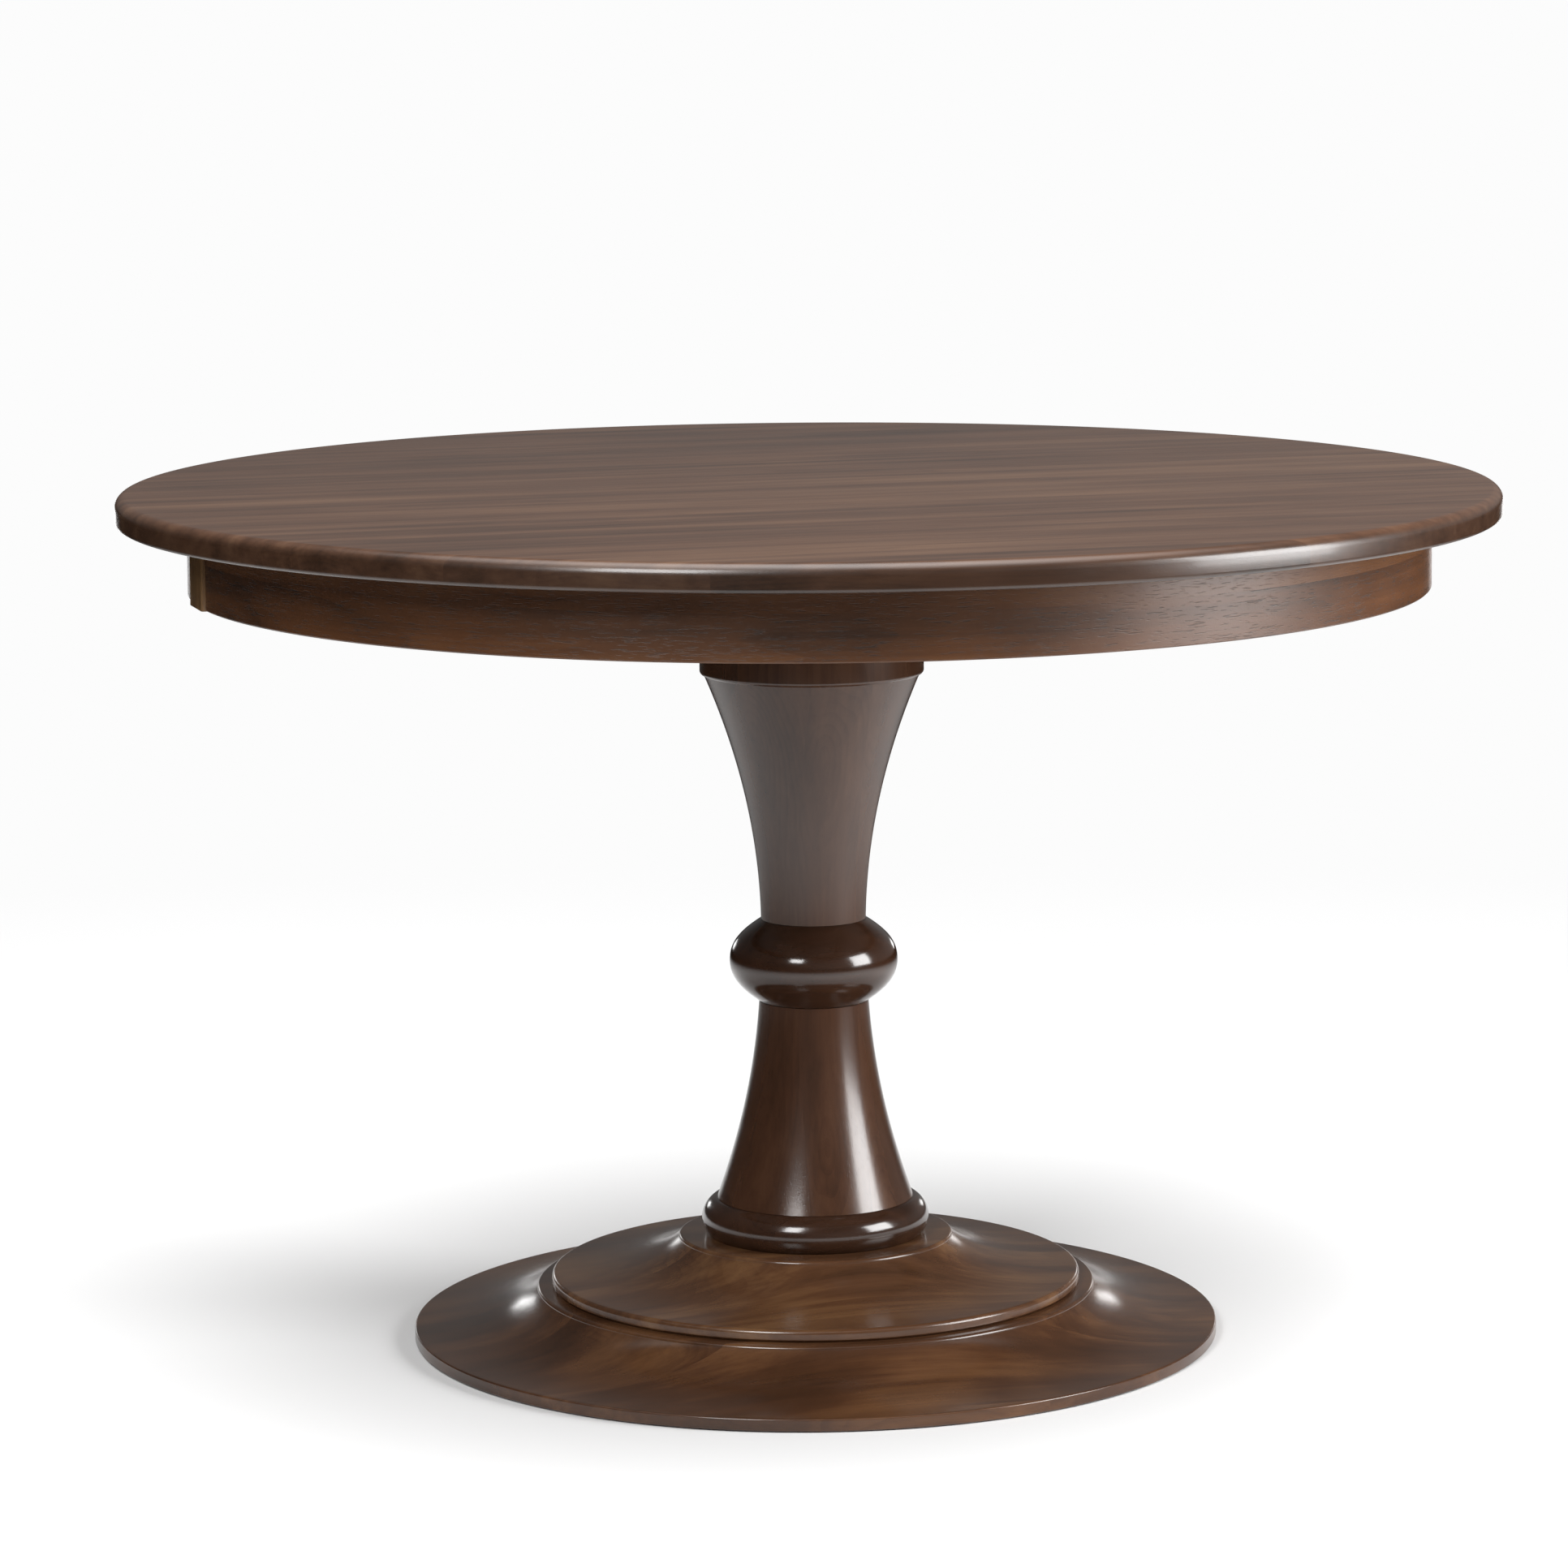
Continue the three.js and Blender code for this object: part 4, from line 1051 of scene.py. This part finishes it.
def round_table(degrees, distance, height):
    """A place on a circle round the table, at an angle right of the camera's side, in metres."""
    angle = VIEW_TURN + math.radians(degrees)
    return Vector((math.sin(angle) * distance, -math.cos(angle) * distance, height)) * MM


# The floor is a round of pale paper that fades out into the backdrop
floor_mesh = bpy.data.meshes.new("pale_floor")
edge = Vector((FLOOR_REACH * MM, 0, 0))
rim = [Matrix.Rotation(TURN * i / TOP_SIDES, 3, "Z") @ edge for i in range(TOP_SIDES)]
floor_mesh.from_pydata([tuple(v) for v in rim], [], [tuple(range(TOP_SIDES))])
floor = put("pale_floor", floor_mesh)
paper = bpy.data.materials.new("floor_matt_paper")
paper.use_nodes = True
sheet = paper.node_tree
sheet.nodes.clear()
from_middle = vectors(sheet, "LENGTH", add(sheet, "ShaderNodeTexCoord").outputs["Object"], result="Value")
gone = ranged(sheet, from_middle, FLOOR_FADE * MM, FLOOR_REACH * MM, soft=True)
matt = add(sheet, "ShaderNodeBsdfDiffuse", {"Color": linear("e0e0e0")}).outputs[0]
clear = add(sheet, "ShaderNodeBsdfTransparent").outputs[0]
add(sheet, "ShaderNodeOutputMaterial", {
    "Surface": add(sheet, "ShaderNodeMixShader", {0: gone, 1: matt, 2: clear}).outputs[0]})
floor_mesh.materials.append(paper)

# The room lights the table. The camera sees a white backdrop instead.
world = bpy.data.worlds.new("studio")
bpy.context.scene.world = world
world.use_nodes = True
world.node_tree.nodes.clear()
sky = world.node_tree
way = add(sky, "ShaderNodeTexCoord").outputs["Generated"]
height = parted(sky, way)["Z"]
ceiling = add(
    sky, "ShaderNodeValToRGB", {"Fac": height},
    stops=[(place, (grey, grey, grey, 1)) for place, grey in CEILING_GLOW]).outputs["Color"]
rightward = (math.cos(VIEW_TURN), math.sin(VIEW_TURN), 0)
backward = (-math.sin(VIEW_TURN), math.cos(VIEW_TURN), 0)
across, behind = (vectors(sky, "DOT_PRODUCT", way, line, result="Value") for line in (rightward, backward))
walls = ranged(sky, across, *WALL_LIMITS, *WALL_GLOW, soft=True)
walls = maths(sky, "MULTIPLY_ADD", ranged(sky, behind, *BACK_LIMITS, soft=True), BACK_GLOW, walls)
low_part = ranged(sky, height, *WALL_TOP, 1.0, 0.0, soft=True)
lit_walls = maths(sky, "MULTIPLY", walls, ranged(sky, height, *HORIZON))
glow = maths(sky, "MULTIPLY_ADD", lit_walls, low_part, ceiling)
room = add(sky, "ShaderNodeBackground", {"Color": glow, "Strength": CEILING_POWER}).outputs[0]
backdrop = add(sky, "ShaderNodeBackground", {"Color": linear("fcfcfc")}).outputs[0]
seen = add(sky, "ShaderNodeLightPath").outputs["Is Camera Ray"]
add(sky, "ShaderNodeOutputWorld", {
    "Surface": add(sky, "ShaderNodeMixShader", {0: seen, 1: room, 2: backdrop}).outputs[0]})


def softbox(name, degrees, distance, height, width, tall, watts, aim):
    """A soft light beside the table, aimed at a height on the table's axis."""
    light = bpy.data.lights.new(name, "AREA")
    light.shape = "RECTANGLE"
    light.size, light.size_y = width * MM, tall * MM
    light.energy = watts
    lamp = put(name, light)
    lamp.location = round_table(degrees, distance, height)
    lamp.rotation_euler = (Vector((0, 0, aim)) * MM - lamp.location).to_track_quat("-Z", "Y").to_euler()


# The two rear ones are low, small and weak: they draw the highlights at the ends of the coves
softbox("softbox_left", -25, 3000, 2400, width=1000, tall=1500, watts=80, aim=500)
softbox("softbox_rear_left", -156, 2700, 430, width=360, tall=260, watts=1.4, aim=100)
softbox("softbox_rear_right", 156, 2700, 430, width=360, tall=260, watts=1.2, aim=100)
softbox("softbox_right", 70, 2400, 1120, width=1200, tall=1300, watts=78, aim=600)


# ---------- Camera ----------

yaw_sin, yaw_cos = math.sin(CAMERA_YAW), math.cos(CAMERA_YAW)
roll_sin, roll_cos = math.sin(CAMERA_ROLL), math.cos(CAMERA_ROLL)
ahead = Vector((yaw_sin * math.cos(CAMERA_DIP), yaw_cos * math.cos(CAMERA_DIP), -math.sin(CAMERA_DIP)))
right = Vector((yaw_cos, -yaw_sin, 0))
above = right.cross(ahead)
level_right = right * roll_cos + above * roll_sin
level_up = above * roll_cos - right * roll_sin
pose = Matrix((level_right, level_up, -ahead)).transposed().to_4x4()
pose.translation = Vector((0, -CAMERA_DISTANCE, CAMERA_HEIGHT)) * MM
camera_data = bpy.data.cameras.new("camera")
camera_data.lens = CAMERA_LENS
camera_data.sensor_width = CAMERA_SENSOR
camera_data.shift_x, camera_data.shift_y = CAMERA_SHIFT
camera = put("camera", camera_data)
camera.matrix_world = Matrix.Rotation(VIEW_TURN, 4, "Z") @ pose
bpy.context.scene.camera = camera
bpy.context.scene.view_settings.view_transform = "Standard"
